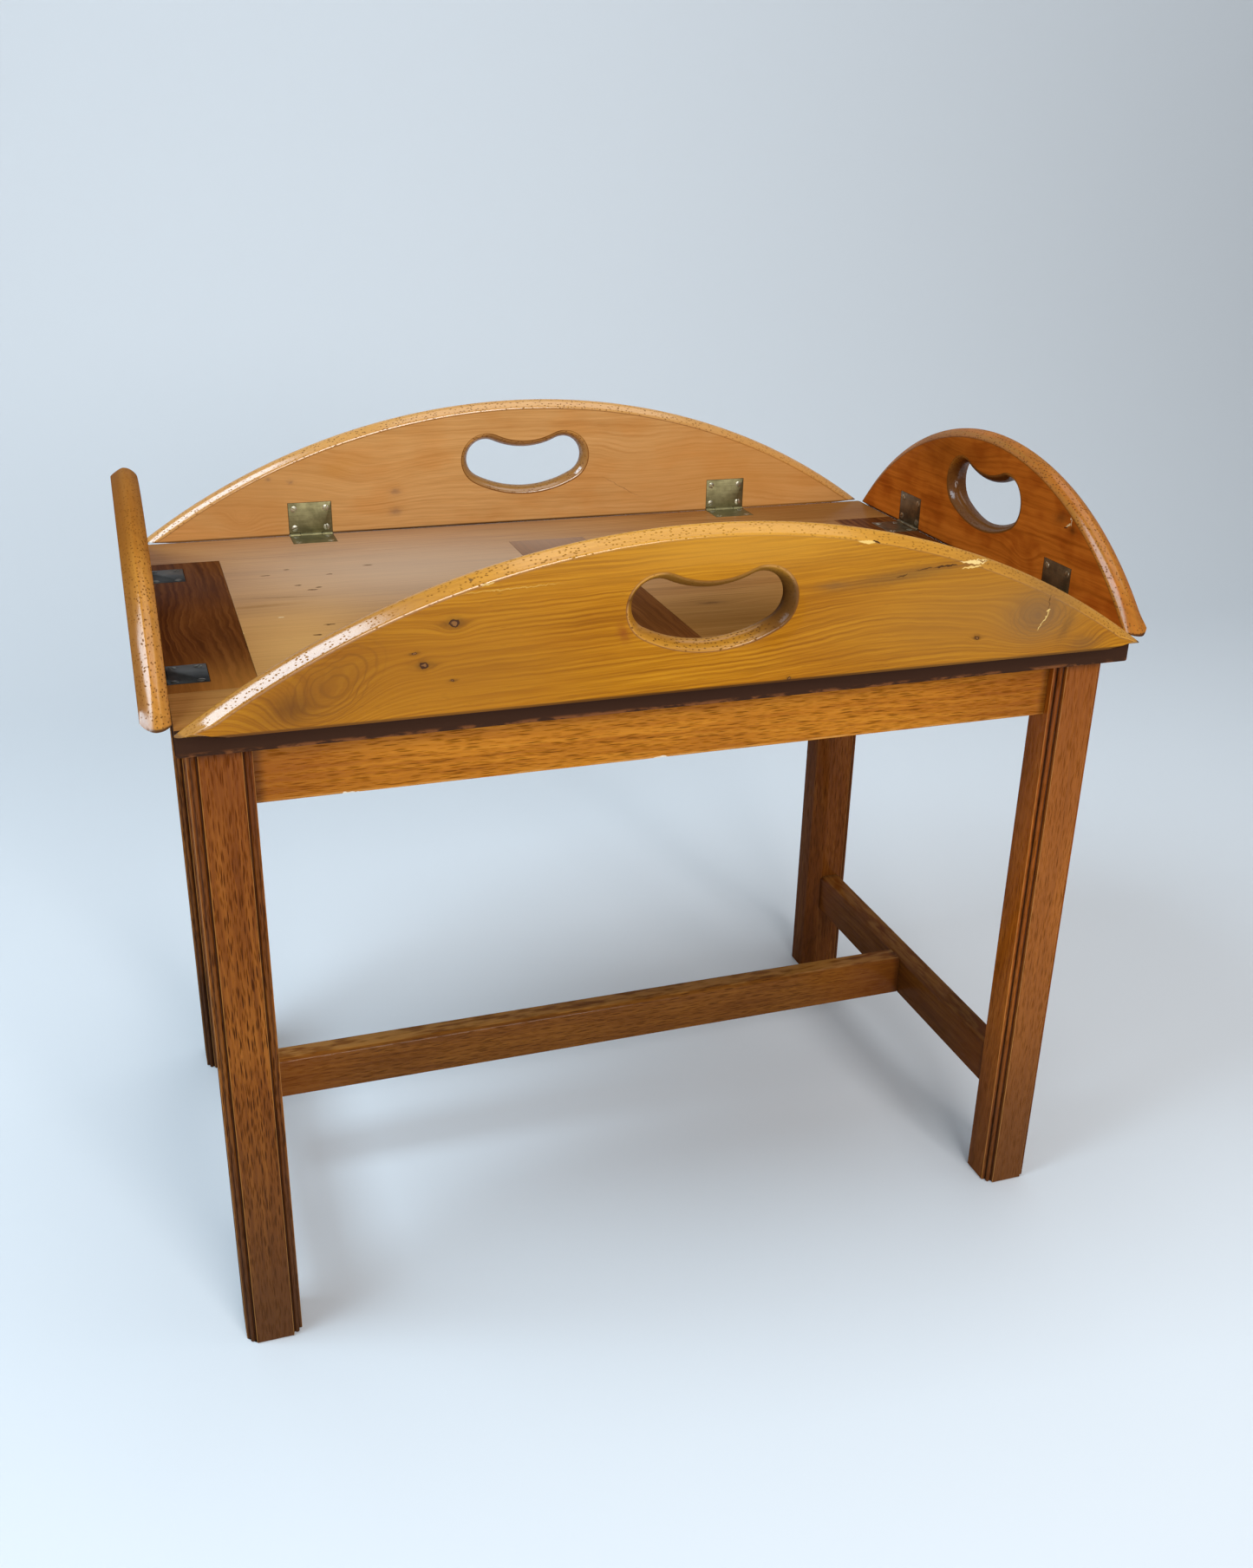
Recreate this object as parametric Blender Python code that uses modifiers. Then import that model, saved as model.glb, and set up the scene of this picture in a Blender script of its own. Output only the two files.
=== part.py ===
"""A butler's tray of yew on its stand, with the four leaves folded up.

Lengths are in metres. The origin is on the floor under the middle of the stand, +X runs
along the long side, the front is at -Y and +Z is up.

The tray's frame has its origin in the middle of the tray's top. A joint's frame serves
the leaf, the hinges and the recesses of one side: its origin is the middle of the tray's
top edge on that side, +X runs along the edge and +Y points in over the tray.
"""

import math

import bmesh
import bpy
from mathutils import Matrix, Vector

# The tray and its leaves
TRAY_LENGTH = 0.700
TRAY_WIDTH = 0.456
TRAY_HEIGHT = 0.514
TRAY_THICKNESS = 0.019
LEAF_THICKNESS = 0.019
LONG_LEAF_RISE = 0.112
SHORT_LEAF_RISE = 0.110

# The clearance between pieces that touch, and how far a cutter runs past its piece
FIT_GAP = 0.0003
CUT_OVERRUN = 0.003

# Points nearer than this are one, and faces that meet at more than this angle show a line
WELD_DISTANCE = 0.00003
SHARP_ANGLE = 35

# The tray's flush frame: two rails, two stiles and a muntin round two panels
RAIL_WIDTH = 0.068
STILE_WIDTH = 0.0605
MUNTIN_WIDTH = 0.069
TRAY_TENON_LENGTH = 0.022
TRAY_TENON_THICKNESS = 0.006
TRAY_TENON_SHOULDER = 0.009
TONGUE_LENGTH = 0.006
TONGUE_THICKNESS = 0.0048
TRAY_EASING = 0.0016
EASING_ROUNDNESS_SHARE = 0.5

# The leaves' edges, which bulge as an arc between two arrises, and the kidney-shaped hole
EDGE_BULGE = 0.0058
HOLE_EDGE_BULGE = 0.0050
EDGE_STEPS = 6
LEAF_ARC_STEPS = 30
LOBE_SPREAD = 0.0373
LOBE_RADIUS = 0.0176
LOBE_HEIGHT = 0.060
HOLE_FOOT_HEIGHT = 0.0331
HOLE_DIP_HEIGHT = 0.0694
LOBE_STEPS = 10
FOOT_STEPS = 6
DIP_STEPS = 4

# The hinges
LONG_HINGE_INSET = 0.148
SHORT_HINGE_INSET = 0.105
HINGE_WIDTH = 0.0385
HINGE_REACH = 0.0295
PLATE_THICKNESS = 0.0022
KNUCKLE_RADIUS = 0.0020
MIDDLE_KNUCKLE_WIDTH = 0.0190
PIN_RADIUS = 0.0009
ROUND_SIDES = 10

# The hinges' countersunk screws
SCREW_SIDE_INSET = 0.0050
SCREW_FAR_INSET = 0.0055
SCREW_NEAR_INSET = 0.0065
SCREW_LENGTH = 0.012
SCREW_RADIUS = 0.0015
SCREW_TIP_RADIUS = 0.0008
SCREW_HEAD_RADIUS = 0.0030
SCREW_SLOT_WIDTH = 0.0008
SCREW_SLOT_DEPTH = 0.0009
SCREW_SLOT_TURNS = (20, 100, 145, 65)
SCREW_SIDES = 6

# The flat springs that hold the leaves up, each riveted under a hinge's tray plate
SPRING_WIDTH = 0.008
SPRING_LENGTH = 0.021
SPRING_THICKNESS = 0.0006
SPRING_EDGE_INSET = 0.0011
RIVET_RADIUS = 0.0014
RIVET_INSET = 0.0045
RIVET_TAIL = 0.0005

# The stand's legs, with a bead between two quirks on the outer corners
LEG_SIZE = 0.042
LEG_END_INSET = 0.0065
LEG_FRONT_INSET = 0.0155
LEG_INNER_CHAMFER = 0.011
MOULDING_REACH = 0.007
BEAD_CENTRE_SHARE = 0.60
BEAD_RADIUS_SHARE = 0.24
QUIRK_DEPTH_SHARE = 0.47
QUIRK_SIDE_SHARE = 0.93
BEAD_HALF_SWEEP = 115
BEAD_STEPS = 6

# The stand's aprons and stretchers
APRON_DEPTH = 0.048
APRON_THICKNESS = 0.020
APRON_SETBACK = 0.012
APRON_EASING = 0.0012
APRON_TENON_THICKNESS = 0.008
TENON_END_WALL = 0.0012
STRETCHER_HEIGHT = 0.080
STRETCHER_DEPTH = 0.038
STRETCHER_WIDTH = 0.022
STRETCHER_CHAMFER = 0.003
STRETCHER_TENON_LENGTH = 0.014
STRETCHER_TENON_THICKNESS = 0.0075
TENON_SHOULDER = 0.005

# The pegs that stand out of the legs and keep the tray in place
PEG_RADIUS = 0.004
PEG_LENGTH = 0.030
PEG_PROUD = 0.009
PEG_SETBACK = 0.0165
PEG_NOSE = 0.0015
PEG_STEPS = 14

# What follows from the sizes above
HALF_LENGTH = TRAY_LENGTH / 2
HALF_WIDTH = TRAY_WIDTH / 2
TRAY_MIDDLE = -TRAY_THICKNESS / 2
STAND_TOP = TRAY_HEIGHT - TRAY_THICKNESS - FIT_GAP
APRON_HEIGHT = STAND_TOP - APRON_DEPTH
RAIL_LINE = HALF_WIDTH - RAIL_WIDTH
STILE_LINE = HALF_LENGTH - STILE_WIDTH
MUNTIN_LINE = MUNTIN_WIDTH / 2
HALF_LEG = LEG_SIZE / 2
LEG_X = HALF_LENGTH - LEG_END_INSET - HALF_LEG
LEG_Y = HALF_WIDTH - LEG_FRONT_INSET - HALF_LEG
APRON_LINE = HALF_LEG - APRON_SETBACK - APRON_THICKNESS / 2
APRON_TENON_LENGTH = HALF_LEG + APRON_LINE - APRON_TENON_THICKNESS / 2 - TENON_END_WALL
PEG_LINE = HALF_LEG - PEG_SETBACK
HALF_HINGE = HINGE_WIDTH / 2
HALF_KNUCKLE = MIDDLE_KNUCKLE_WIDTH / 2
RECESS_DEPTH = PLATE_THICKNESS + FIT_GAP
SPRING_LEVEL = -PLATE_THICKNESS - FIT_GAP
SPRING_END = SPRING_EDGE_INSET + SPRING_LENGTH
RIVET_END = SPRING_LEVEL - SPRING_THICKNESS - RIVET_TAIL

# Each side of the tray: its turn about Z in degrees, the distance of its joint line from
# the tray's middle, half the line's length, the leaf's rise, and the distance of each
# hinge's middle from the line's middle
LONG_SIDE = (HALF_WIDTH, HALF_LENGTH, LONG_LEAF_RISE, HALF_LENGTH - LONG_HINGE_INSET)
SHORT_SIDE = (HALF_LENGTH, HALF_WIDTH, SHORT_LEAF_RISE, HALF_WIDTH - SHORT_HINGE_INSET)
SIDES = {
    "front": (0, *LONG_SIDE),
    "right": (90, *SHORT_SIDE),
    "back": (180, *LONG_SIDE),
    "left": (270, *SHORT_SIDE),
}
UPRIGHT = Matrix.Rotation(math.radians(90), 4, "X")
LEAF_PLATE_UP = Matrix.Rotation(math.radians(-90), 4, "X") @ Matrix.Rotation(math.pi, 4, "Z")
LENGTH_ALONG_X = Matrix(((0, 0, 1, 0), (1, 0, 0, 0), (0, 1, 0, 0), (0, 0, 0, 1)))


def mesh_of(shape):
    """The bmesh written to a mesh, and freed."""
    mesh = bpy.data.meshes.new("shape")
    shape.to_mesh(mesh)
    shape.free()
    return mesh


def box(low, high):
    """A closed box between two corners."""
    low, high = Vector(low), Vector(high)
    shape = bmesh.new()
    bmesh.ops.create_cube(shape, size=1)
    bmesh.ops.scale(shape, vec=high - low, verts=shape.verts)
    bmesh.ops.translate(shape, vec=(low + high) / 2, verts=shape.verts)
    return mesh_of(shape)


def rod(start, end, radius, end_radius, sides):
    """A closed cylinder or cone from one point to another."""
    start, end = Vector(start), Vector(end)
    shape = bmesh.new()
    bmesh.ops.create_cone(
        shape,
        cap_ends=True,
        segments=sides,
        radius1=radius,
        radius2=end_radius,
        depth=(end - start).length,
    )
    # Half a step of turn keeps the corners off the planes through the axis
    turn = Matrix.Rotation(math.pi / sides, 4, "Z")
    aim = (end - start).to_track_quat("Z", "Y").to_matrix().to_4x4()
    place = Matrix.Translation((start + end) / 2) @ aim @ turn
    bmesh.ops.transform(shape, matrix=place, verts=shape.verts)
    return mesh_of(shape)


def moved(mesh, matrix):
    """The mesh moved by a matrix, with its faces kept outwards if that mirrors it."""
    mesh.transform(matrix)
    if matrix.determinant() < 0:
        mesh.flip_normals()
    return mesh


def mesh_from(obj):
    """The mesh that an object's modifiers or curve make; the object is removed."""
    graph = bpy.context.evaluated_depsgraph_get()
    mesh = bpy.data.meshes.new_from_object(obj.evaluated_get(graph))
    bpy.data.objects.remove(obj)
    return mesh


def linked(data):
    """A new object of the scene that holds the data."""
    obj = bpy.data.objects.new("work", data)
    bpy.context.scene.collection.objects.link(obj)
    return obj


def welded(mesh):
    """The mesh with its loose caps joined to its sides, and its faces outwards."""
    shape = bmesh.new()
    shape.from_mesh(mesh)
    bmesh.ops.remove_doubles(shape, verts=shape.verts, dist=WELD_DISTANCE)
    bmesh.ops.recalc_face_normals(shape, faces=shape.faces)
    shape.to_mesh(mesh)
    shape.free()
    return mesh


def extruded(outline, thickness):
    """A flat outline in XY thickened evenly about Z = 0."""
    data = bpy.data.curves.new("outline", "CURVE")
    data.dimensions = "2D"
    data.fill_mode = "BOTH"
    data.extrude = thickness / 2
    spline = data.splines.new("POLY")
    spline.points.add(len(outline) - 1)
    for point, (x, y) in zip(spline.points, outline):
        point.co = (x, y, 0, 1)
    spline.use_cyclic_u = True
    return welded(mesh_from(linked(data)))


def lofted(*walls):
    """A board between two flat faces. The first wall goes round it, the others round holes.

    A wall is a list of levels, each a height and a closed outline in XY. The outlines of
    one wall all have the same number of points.
    """
    shape = bmesh.new()
    ends = []
    for wall in walls:
        rims = []
        for height, outline in wall:
            ring = [shape.verts.new((x, y, height)) for x, y in outline]
            rims.append([shape.edges.new(pair) for pair in zip(ring, ring[1:] + ring[:1])])
        for low, high in zip(rims, rims[1:]):
            bmesh.ops.bridge_loops(shape, edges=low + high)
        ends.append((rims[0], rims[-1]))
    for rims in zip(*ends):
        bmesh.ops.triangle_fill(shape, use_beauty=True, edges=sum(rims, []))
    bmesh.ops.recalc_face_normals(shape, faces=shape.faces)
    return mesh_of(shape)


def turned(profile, steps):
    """A profile of (radius, height) points, listed top to bottom, turned about Z."""
    mesh = bpy.data.meshes.new("profile")
    points = [(radius, 0, height) for radius, height in profile]
    mesh.from_pydata(points, [(i, i + 1) for i in range(len(points) - 1)], [])
    obj = linked(mesh)
    screw = obj.modifiers.new("turn", "SCREW")
    screw.steps = screw.render_steps = steps
    screw.use_merge_vertices = True
    screw.merge_threshold = WELD_DISTANCE
    return welded(mesh_from(obj))


def combined(mesh, others, operation):
    """The mesh after each of the others is joined to it, cut from it or shared with it."""
    body = linked(mesh)
    tools = [linked(other) for other in others]
    for tool in tools:
        step = body.modifiers.new("step", "BOOLEAN")
        step.operation = operation
        step.solver = "EXACT"
        step.object = tool
    result = mesh_from(body)
    for tool in tools:
        bpy.data.objects.remove(tool)
    return result


def joined(mesh, *others):
    """The mesh with each of the others joined on."""
    return combined(mesh, others, "UNION")


def cut(mesh, *cutters):
    """The mesh with each cutter taken away."""
    return combined(mesh, cutters, "DIFFERENCE")


def within(mesh, block):
    """The part of the mesh that lies inside the block."""
    return combined(mesh, [block], "INTERSECT")


def arc(centre, radius, start, end, steps):
    """Points on an arc between two angles in degrees, without the one at the end."""
    angles = [math.radians(start + (end - start) * i / steps) for i in range(steps)]
    x, y = centre
    return [(x + radius * math.cos(a), y + radius * math.sin(a)) for a in angles]


def material(name, colour, roughness, metallic=0):
    """A plain surface of one colour."""
    made = bpy.data.materials.new(name)
    made.use_nodes = True
    shader = made.node_tree.nodes["Principled BSDF"]
    shader.inputs["Base Color"].default_value = (*colour, 1)
    shader.inputs["Roughness"].default_value = roughness
    shader.inputs["Metallic"].default_value = metallic
    made.diffuse_color = (*colour, 1)
    return made


def golden_yew():
    return material("golden_yew", (0.45, 0.18, 0.02), 0.30)


def pale_yew():
    return material("pale_yew", (0.48, 0.24, 0.085), 0.28)


def red_yew():
    return material("red_yew", (0.21, 0.055, 0.01), 0.28)


def speckled_yew():
    return material("speckled_yew", (0.40, 0.16, 0.035), 0.30)


def tan_yew():
    return material("tan_yew", (0.35, 0.17, 0.05), 0.22)


def brown_yew():
    return material("brown_yew", (0.13, 0.045, 0.015), 0.24)


def stained_stand_wood():
    return material("stained_stand_wood", (0.30, 0.095, 0.014), 0.38)


def peg_wood():
    return material("peg_wood", (0.60, 0.42, 0.25), 0.55)


def dull_brass():
    return material("dull_brass", (0.25, 0.21, 0.10), 0.38, 1)


def pin_brass():
    return material("pin_brass", (0.60, 0.48, 0.22), 0.30, 1)


def spring_steel():
    return material("spring_steel", (0.35, 0.35, 0.36), 0.35, 1)


def edge_levels(bulge):
    """The heights and insets of a leaf's edge, from one face to the other."""
    half = LEAF_THICKNESS / 2
    radius = (half**2 + bulge**2) / (2 * bulge)
    half_sweep = math.asin(half / radius)
    turns = [half_sweep * (2 * i / EDGE_STEPS - 1) for i in range(EDGE_STEPS + 1)]
    return [(radius * math.sin(turn), radius * (1 - math.cos(turn))) for turn in turns]


def hand_hole(inset):
    """The kidney outline set back into the wood, counterclockwise from the right lobe's foot.

    Two round lobes are joined by a wide arc below and by an arc that dips between them.
    Each arc touches both lobes, so its centre lies on X = 0 at the height where the
    distance to a lobe's centre is the difference or the sum of the two radii.
    """

    def centre_height(level):
        rise = LOBE_SPREAD**2 + LOBE_HEIGHT**2 - level**2
        return rise / (2 * (LOBE_HEIGHT - level))

    foot_centre = centre_height(HOLE_FOOT_HEIGHT + LOBE_RADIUS)
    dip_centre = centre_height(HOLE_DIP_HEIGHT - LOBE_RADIUS)
    foot_turn = math.degrees(math.atan2(foot_centre - LOBE_HEIGHT, LOBE_SPREAD))
    dip_turn = math.degrees(math.atan2(dip_centre - LOBE_HEIGHT, LOBE_SPREAD))
    right, left = (LOBE_SPREAD, LOBE_HEIGHT), (-LOBE_SPREAD, LOBE_HEIGHT)
    lobe_radius = LOBE_RADIUS + inset
    foot_radius = foot_centre - HOLE_FOOT_HEIGHT + inset
    dip_radius = dip_centre - HOLE_DIP_HEIGHT - inset
    return (
        arc(right, lobe_radius, -foot_turn, 180 - dip_turn, LOBE_STEPS)
        + arc((0, dip_centre), dip_radius, -dip_turn, dip_turn - 180, DIP_STEPS)
        + arc(left, lobe_radius, dip_turn, 180 + foot_turn, LOBE_STEPS)
        + arc((0, foot_centre), foot_radius, 180 + foot_turn, 360 - foot_turn, FOOT_STEPS)
    )


def leaf_outline(half_line, rise, inset):
    """A segment of a circle on a chord at Y = 0, its arc set back by the inset.

    It runs on below the chord, to be cut off there.
    """
    radius = (half_line**2 + rise**2) / (2 * rise)
    half_sweep = math.degrees(math.acos((radius - rise - CUT_OVERRUN) / radius))
    start, end = 90 - half_sweep, 90 + half_sweep
    points = arc((0, rise - radius), radius - inset, start, end, LEAF_ARC_STEPS)
    # The arc's last point is the first one mirrored
    return [*points, (-points[0][0], points[0][1])]


def screw_places():
    """Where a plate's four screws stand in the hinge's own frame, and how each slot is turned."""
    across = HALF_HINGE - SCREW_SIDE_INSET
    far = HINGE_REACH - SCREW_FAR_INSET
    spots = [(-across, SCREW_NEAR_INSET), (across, SCREW_NEAR_INSET), (-across, far), (across, far)]
    return list(zip(spots, SCREW_SLOT_TURNS))


def screw_body(x, y, clearance):
    """A screw's tapered body below the plate's face, or its pilot hole with a clearance."""
    top = (x, y, -PLATE_THICKNESS / 2)
    tip = (x, y, -SCREW_LENGTH - clearance)
    return rod(top, tip, SCREW_RADIUS + clearance, SCREW_TIP_RADIUS + clearance, SCREW_SIDES)


def screw_slot(x, y, turn):
    """The cutter for a screw's slot."""
    half_width = SCREW_SLOT_WIDTH / 2
    low = (-SCREW_HEAD_RADIUS, -half_width, -SCREW_SLOT_DEPTH)
    slot = box(low, (SCREW_HEAD_RADIUS, half_width, CUT_OVERRUN))
    turned_about = Matrix.Rotation(math.radians(turn), 4, "Z")
    return moved(slot, Matrix.Translation((x, y, 0)) @ turned_about)


def knuckle(low, high, clearance=0):
    """A stretch of the knuckle along the joint, or the room for it with a clearance."""
    radius = KNUCKLE_RADIUS + clearance
    ends = (low - clearance, 0, 0), (high + clearance, 0, 0)
    return rod(*ends, radius, radius, ROUND_SIDES)


def pin_rod(half_length, clearance=0):
    """The pin along the joint, or its bore with a clearance."""
    radius = PIN_RADIUS + clearance
    return rod((-half_length, 0, 0), (half_length, 0, 0), radius, radius, ROUND_SIDES)


def hinge_plate(own, others):
    """A plate lying flat with its face up, its own knuckles on the joint line, and room
    for the other plate's. Its four countersunk screws are one solid with it.
    """
    low = (-HALF_HINGE, FIT_GAP, -PLATE_THICKNESS)
    plate = box(low, (HALF_HINGE, HINGE_REACH, 0))
    plate = cut(plate, *[knuckle(*ends, FIT_GAP) for ends in others])
    plate = joined(plate, *[knuckle(*ends) for ends in own])
    plate = cut(plate, pin_rod(HALF_HINGE + CUT_OVERRUN, FIT_GAP))
    plate = joined(plate, *[screw_body(x, y, 0) for (x, y), turn in screw_places()])
    return cut(plate, *[screw_slot(x, y, turn) for (x, y), turn in screw_places()])


def knuckle_stretches():
    """The ends along the joint of the leaf plate's knuckle, and of the tray plate's two."""
    middle = (-HALF_KNUCKLE, HALF_KNUCKLE)
    side = HALF_KNUCKLE + FIT_GAP
    return [middle], [(-HALF_HINGE, -side), (side, HALF_HINGE)]


def tray_plate():
    """The plate let into the tray, with the rivet that holds the spring under it."""
    middle, sides = knuckle_stretches()
    y = SPRING_END - RIVET_INSET
    rivet = rod(
        (0, y, -PLATE_THICKNESS / 2), (0, y, RIVET_END), RIVET_RADIUS, RIVET_RADIUS, ROUND_SIDES
    )
    return joined(hinge_plate(sides, middle), rivet)


def leaf_plate():
    """The plate let into the leaf, standing upright."""
    middle, sides = knuckle_stretches()
    return moved(hinge_plate(middle, sides), LEAF_PLATE_UP)


def hinge_spring():
    """The flat spring, with the hole that the rivet passes through."""
    half_width = SPRING_WIDTH / 2
    under = SPRING_LEVEL - SPRING_THICKNESS
    strip = box((-half_width, SPRING_EDGE_INSET, under), (half_width, SPRING_END, SPRING_LEVEL))
    y = SPRING_END - RIVET_INSET
    radius = RIVET_RADIUS + FIT_GAP
    hole = rod((0, y, 0), (0, y, under - CUT_OVERRUN), radius, radius, ROUND_SIDES)
    return cut(strip, hole)


def plate_recess():
    """The cutters that let a hinge plate into wood: its recess, and its screws' pilot holes."""
    across = HALF_HINGE + FIT_GAP
    recess = box((-across, -CUT_OVERRUN, -RECESS_DEPTH), (across, HINGE_REACH + FIT_GAP, CUT_OVERRUN))
    return [recess, *[screw_body(x, y, FIT_GAP) for (x, y), turn in screw_places()]]


def spring_pocket():
    """The cutter for the spring's pocket in the floor of the tray's recess."""
    across = SPRING_WIDTH / 2 + FIT_GAP
    low = (-across, SPRING_EDGE_INSET - FIT_GAP, RIVET_END - FIT_GAP)
    return box(low, (across, SPRING_END + FIT_GAP, -PLATE_THICKNESS))


def joint_frame(side):
    """The matrix from a side's joint frame to the tray's frame."""
    turn, distance, half_line, rise, offset = SIDES[side]
    return Matrix.Rotation(math.radians(turn), 4, "Z") @ Matrix.Translation((0, -distance, 0))


def tray_recesses(side):
    """All the cutters for the hinges of one side, in the tray's frame."""
    turn, distance, half_line, rise, offset = SIDES[side]
    cutters = []
    for x in (-offset, offset):
        place = joint_frame(side) @ Matrix.Translation((x, 0, 0))
        cutters += [moved(cutter, place) for cutter in [*plate_recess(), spring_pocket()]]
    return cutters


def leaf(side):
    """A leaf, upright in its joint's frame, its inner face at Y = 0."""
    turn, distance, half_line, rise, offset = SIDES[side]
    edge = [(z, leaf_outline(half_line, rise, inset)) for z, inset in edge_levels(EDGE_BULGE)]
    hole = [(z, hand_hole(inset)) for z, inset in edge_levels(HOLE_EDGE_BULGE)]
    place_in_joint = Matrix.Translation((0, -LEAF_THICKNESS / 2, 0)) @ UPRIGHT
    board = moved(lofted(edge, hole), place_in_joint)
    # The outline's first point is its widest, and its lowest at the deepest inset
    reach = leaf_outline(half_line, rise, 0)[0][0] + CUT_OVERRUN
    lowest = leaf_outline(half_line, rise, EDGE_BULGE)[0][1]
    low = (-reach, -LEAF_THICKNESS - CUT_OVERRUN, lowest - CUT_OVERRUN)
    board = cut(board, box(low, (reach, CUT_OVERRUN, FIT_GAP)))
    cutters = []
    for x in (-offset, offset):
        place = Matrix.Translation((x, 0, 0)) @ LEAF_PLATE_UP
        cutters += [moved(cutter, place) for cutter in plate_recess()]
    return cut(board, *cutters)


def tray_blank():
    """The whole tray as one board, its lower edges and upright corners eased."""
    shape = bmesh.new()
    bmesh.ops.create_cube(shape, size=1)
    bmesh.ops.scale(shape, vec=(TRAY_LENGTH, TRAY_WIDTH, TRAY_THICKNESS), verts=shape.verts)
    bmesh.ops.translate(shape, vec=(0, 0, TRAY_MIDDLE), verts=shape.verts)
    top_edges = [e for e in shape.edges if all(v.co.z > TRAY_MIDDLE for v in e.verts)]
    eased = [e for e in shape.edges if e not in top_edges]
    bmesh.ops.bevel(
        shape,
        geom=eased,
        offset=TRAY_EASING,
        segments=2,
        profile=EASING_ROUNDNESS_SHARE,
        affect="EDGES",
    )
    return mesh_of(shape)


def tray_piece(low, high):
    """The blank between two corners in plan."""
    below = -TRAY_THICKNESS - CUT_OVERRUN
    return within(tray_blank(), box((*low, below), (*high, CUT_OVERRUN)))


def middle_slab(low, high, thickness):
    """A slab at half the tray's thickness: a tenon, a tongue, or the cutter for one."""
    half = thickness / 2
    return box((*low, TRAY_MIDDLE - half), (*high, TRAY_MIDDLE + half))


def front_rail():
    """The rail along the front, with mortises for the uprights and grooves for the panels."""
    outside = (-HALF_LENGTH - CUT_OVERRUN, -HALF_WIDTH - CUT_OVERRUN)
    rail = tray_piece(outside, (HALF_LENGTH + CUT_OVERRUN, -RAIL_LINE))
    inside = -RAIL_LINE + CUT_OVERRUN
    cutters = tray_recesses("front")
    for middle, width in (
        (-HALF_LENGTH + STILE_WIDTH / 2, STILE_WIDTH),
        (0, MUNTIN_WIDTH),
        (HALF_LENGTH - STILE_WIDTH / 2, STILE_WIDTH),
    ):
        across = width / 2 - TRAY_TENON_SHOULDER + FIT_GAP
        low = (middle - across, -RAIL_LINE - TRAY_TENON_LENGTH - FIT_GAP)
        thickness = TRAY_TENON_THICKNESS + 2 * FIT_GAP
        cutters.append(middle_slab(low, (middle + across, inside), thickness))
    reach = TONGUE_LENGTH + FIT_GAP
    for start, end in ((-STILE_LINE, -MUNTIN_LINE), (MUNTIN_LINE, STILE_LINE)):
        low = (start - reach, -RAIL_LINE - reach)
        thickness = TONGUE_THICKNESS + 2 * FIT_GAP
        cutters.append(middle_slab(low, (end + reach, inside), thickness))
    return cut(rail, *cutters)


def upright(low_x, high_x, tenon_low_x, tenon_high_x):
    """A stile or the muntin between the rails, with a tenon at each end."""
    half = RAIL_LINE - FIT_GAP
    body = tray_piece((low_x, -half), (high_x, half))
    end = RAIL_LINE + TRAY_TENON_LENGTH
    return joined(body, middle_slab((tenon_low_x, -end), (tenon_high_x, end), TRAY_TENON_THICKNESS))


def groove(line, inwards):
    """The cutter for a panel's groove along an upright's edge at X = line."""
    ends = sorted((line - inwards * CUT_OVERRUN, line + inwards * (TONGUE_LENGTH + FIT_GAP)))
    thickness = TONGUE_THICKNESS + 2 * FIT_GAP
    return middle_slab((ends[0], -RAIL_LINE), (ends[1], RAIL_LINE), thickness)


def right_stile():
    """The cross-grain piece at the right end, which carries the right leaf's hinges."""
    tenon = (STILE_LINE + TRAY_TENON_SHOULDER, HALF_LENGTH - TRAY_TENON_SHOULDER)
    stile = upright(STILE_LINE, HALF_LENGTH + CUT_OVERRUN, *tenon)
    return cut(stile, groove(STILE_LINE, 1), *tray_recesses("right"))


def muntin():
    """The cross-grain piece in the middle of the tray."""
    tenon = MUNTIN_LINE - TRAY_TENON_SHOULDER
    piece = upright(-MUNTIN_LINE, MUNTIN_LINE, -tenon, tenon)
    return cut(piece, groove(MUNTIN_LINE, -1), groove(-MUNTIN_LINE, 1))


def right_panel():
    """A flush panel of the tray's floor, with a tongue on all four edges."""
    low_x, high_x = MUNTIN_LINE + FIT_GAP, STILE_LINE - FIT_GAP
    half = RAIL_LINE - FIT_GAP
    body = tray_piece((low_x, -half), (high_x, half))
    low = (low_x - TONGUE_LENGTH, -half - TONGUE_LENGTH)
    high = (high_x + TONGUE_LENGTH, half + TONGUE_LENGTH)
    return joined(body, middle_slab(low, high, TONGUE_THICKNESS))


def moulded_corner():
    """A corner's outline with a bead between two quirks, for a corner at the lower left."""
    reach = MOULDING_REACH
    centre, radius = reach * BEAD_CENTRE_SHARE, reach * BEAD_RADIUS_SHARE
    deep, side = reach * QUIRK_DEPTH_SHARE, reach * QUIRK_SIDE_SHARE
    start, end = 225 - BEAD_HALF_SWEEP, 225 + BEAD_HALF_SWEEP
    bead = arc((centre, centre), radius, start, end, BEAD_STEPS)
    last = (bead[0][1], bead[0][0])
    return [(0, reach), (deep, side), *bead, last, (side, deep), (reach, 0)]


def leg_outline():
    """The front left leg's section: three moulded corners, and the inner one chamfered."""
    plain = [(0, LEG_INNER_CHAMFER), (LEG_INNER_CHAMFER, 0)]
    outline = []
    for quarter, corner in enumerate((moulded_corner(), moulded_corner(), plain, moulded_corner())):
        turn = Matrix.Rotation(quarter * math.pi / 2, 2)
        outline += [turn @ Vector((x - HALF_LEG, y - HALF_LEG)) for x, y in corner]
    return outline


def mortise(middle, half_width, low_z, high_z, depth):
    """The cutter for a mortise in the leg's +X face, its middle at a given Y."""
    low = (HALF_LEG - depth - FIT_GAP, middle - half_width - FIT_GAP, low_z - FIT_GAP)
    high = (HALF_LEG + CUT_OVERRUN, middle + half_width + FIT_GAP, high_z + FIT_GAP)
    return box(low, high)


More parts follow.
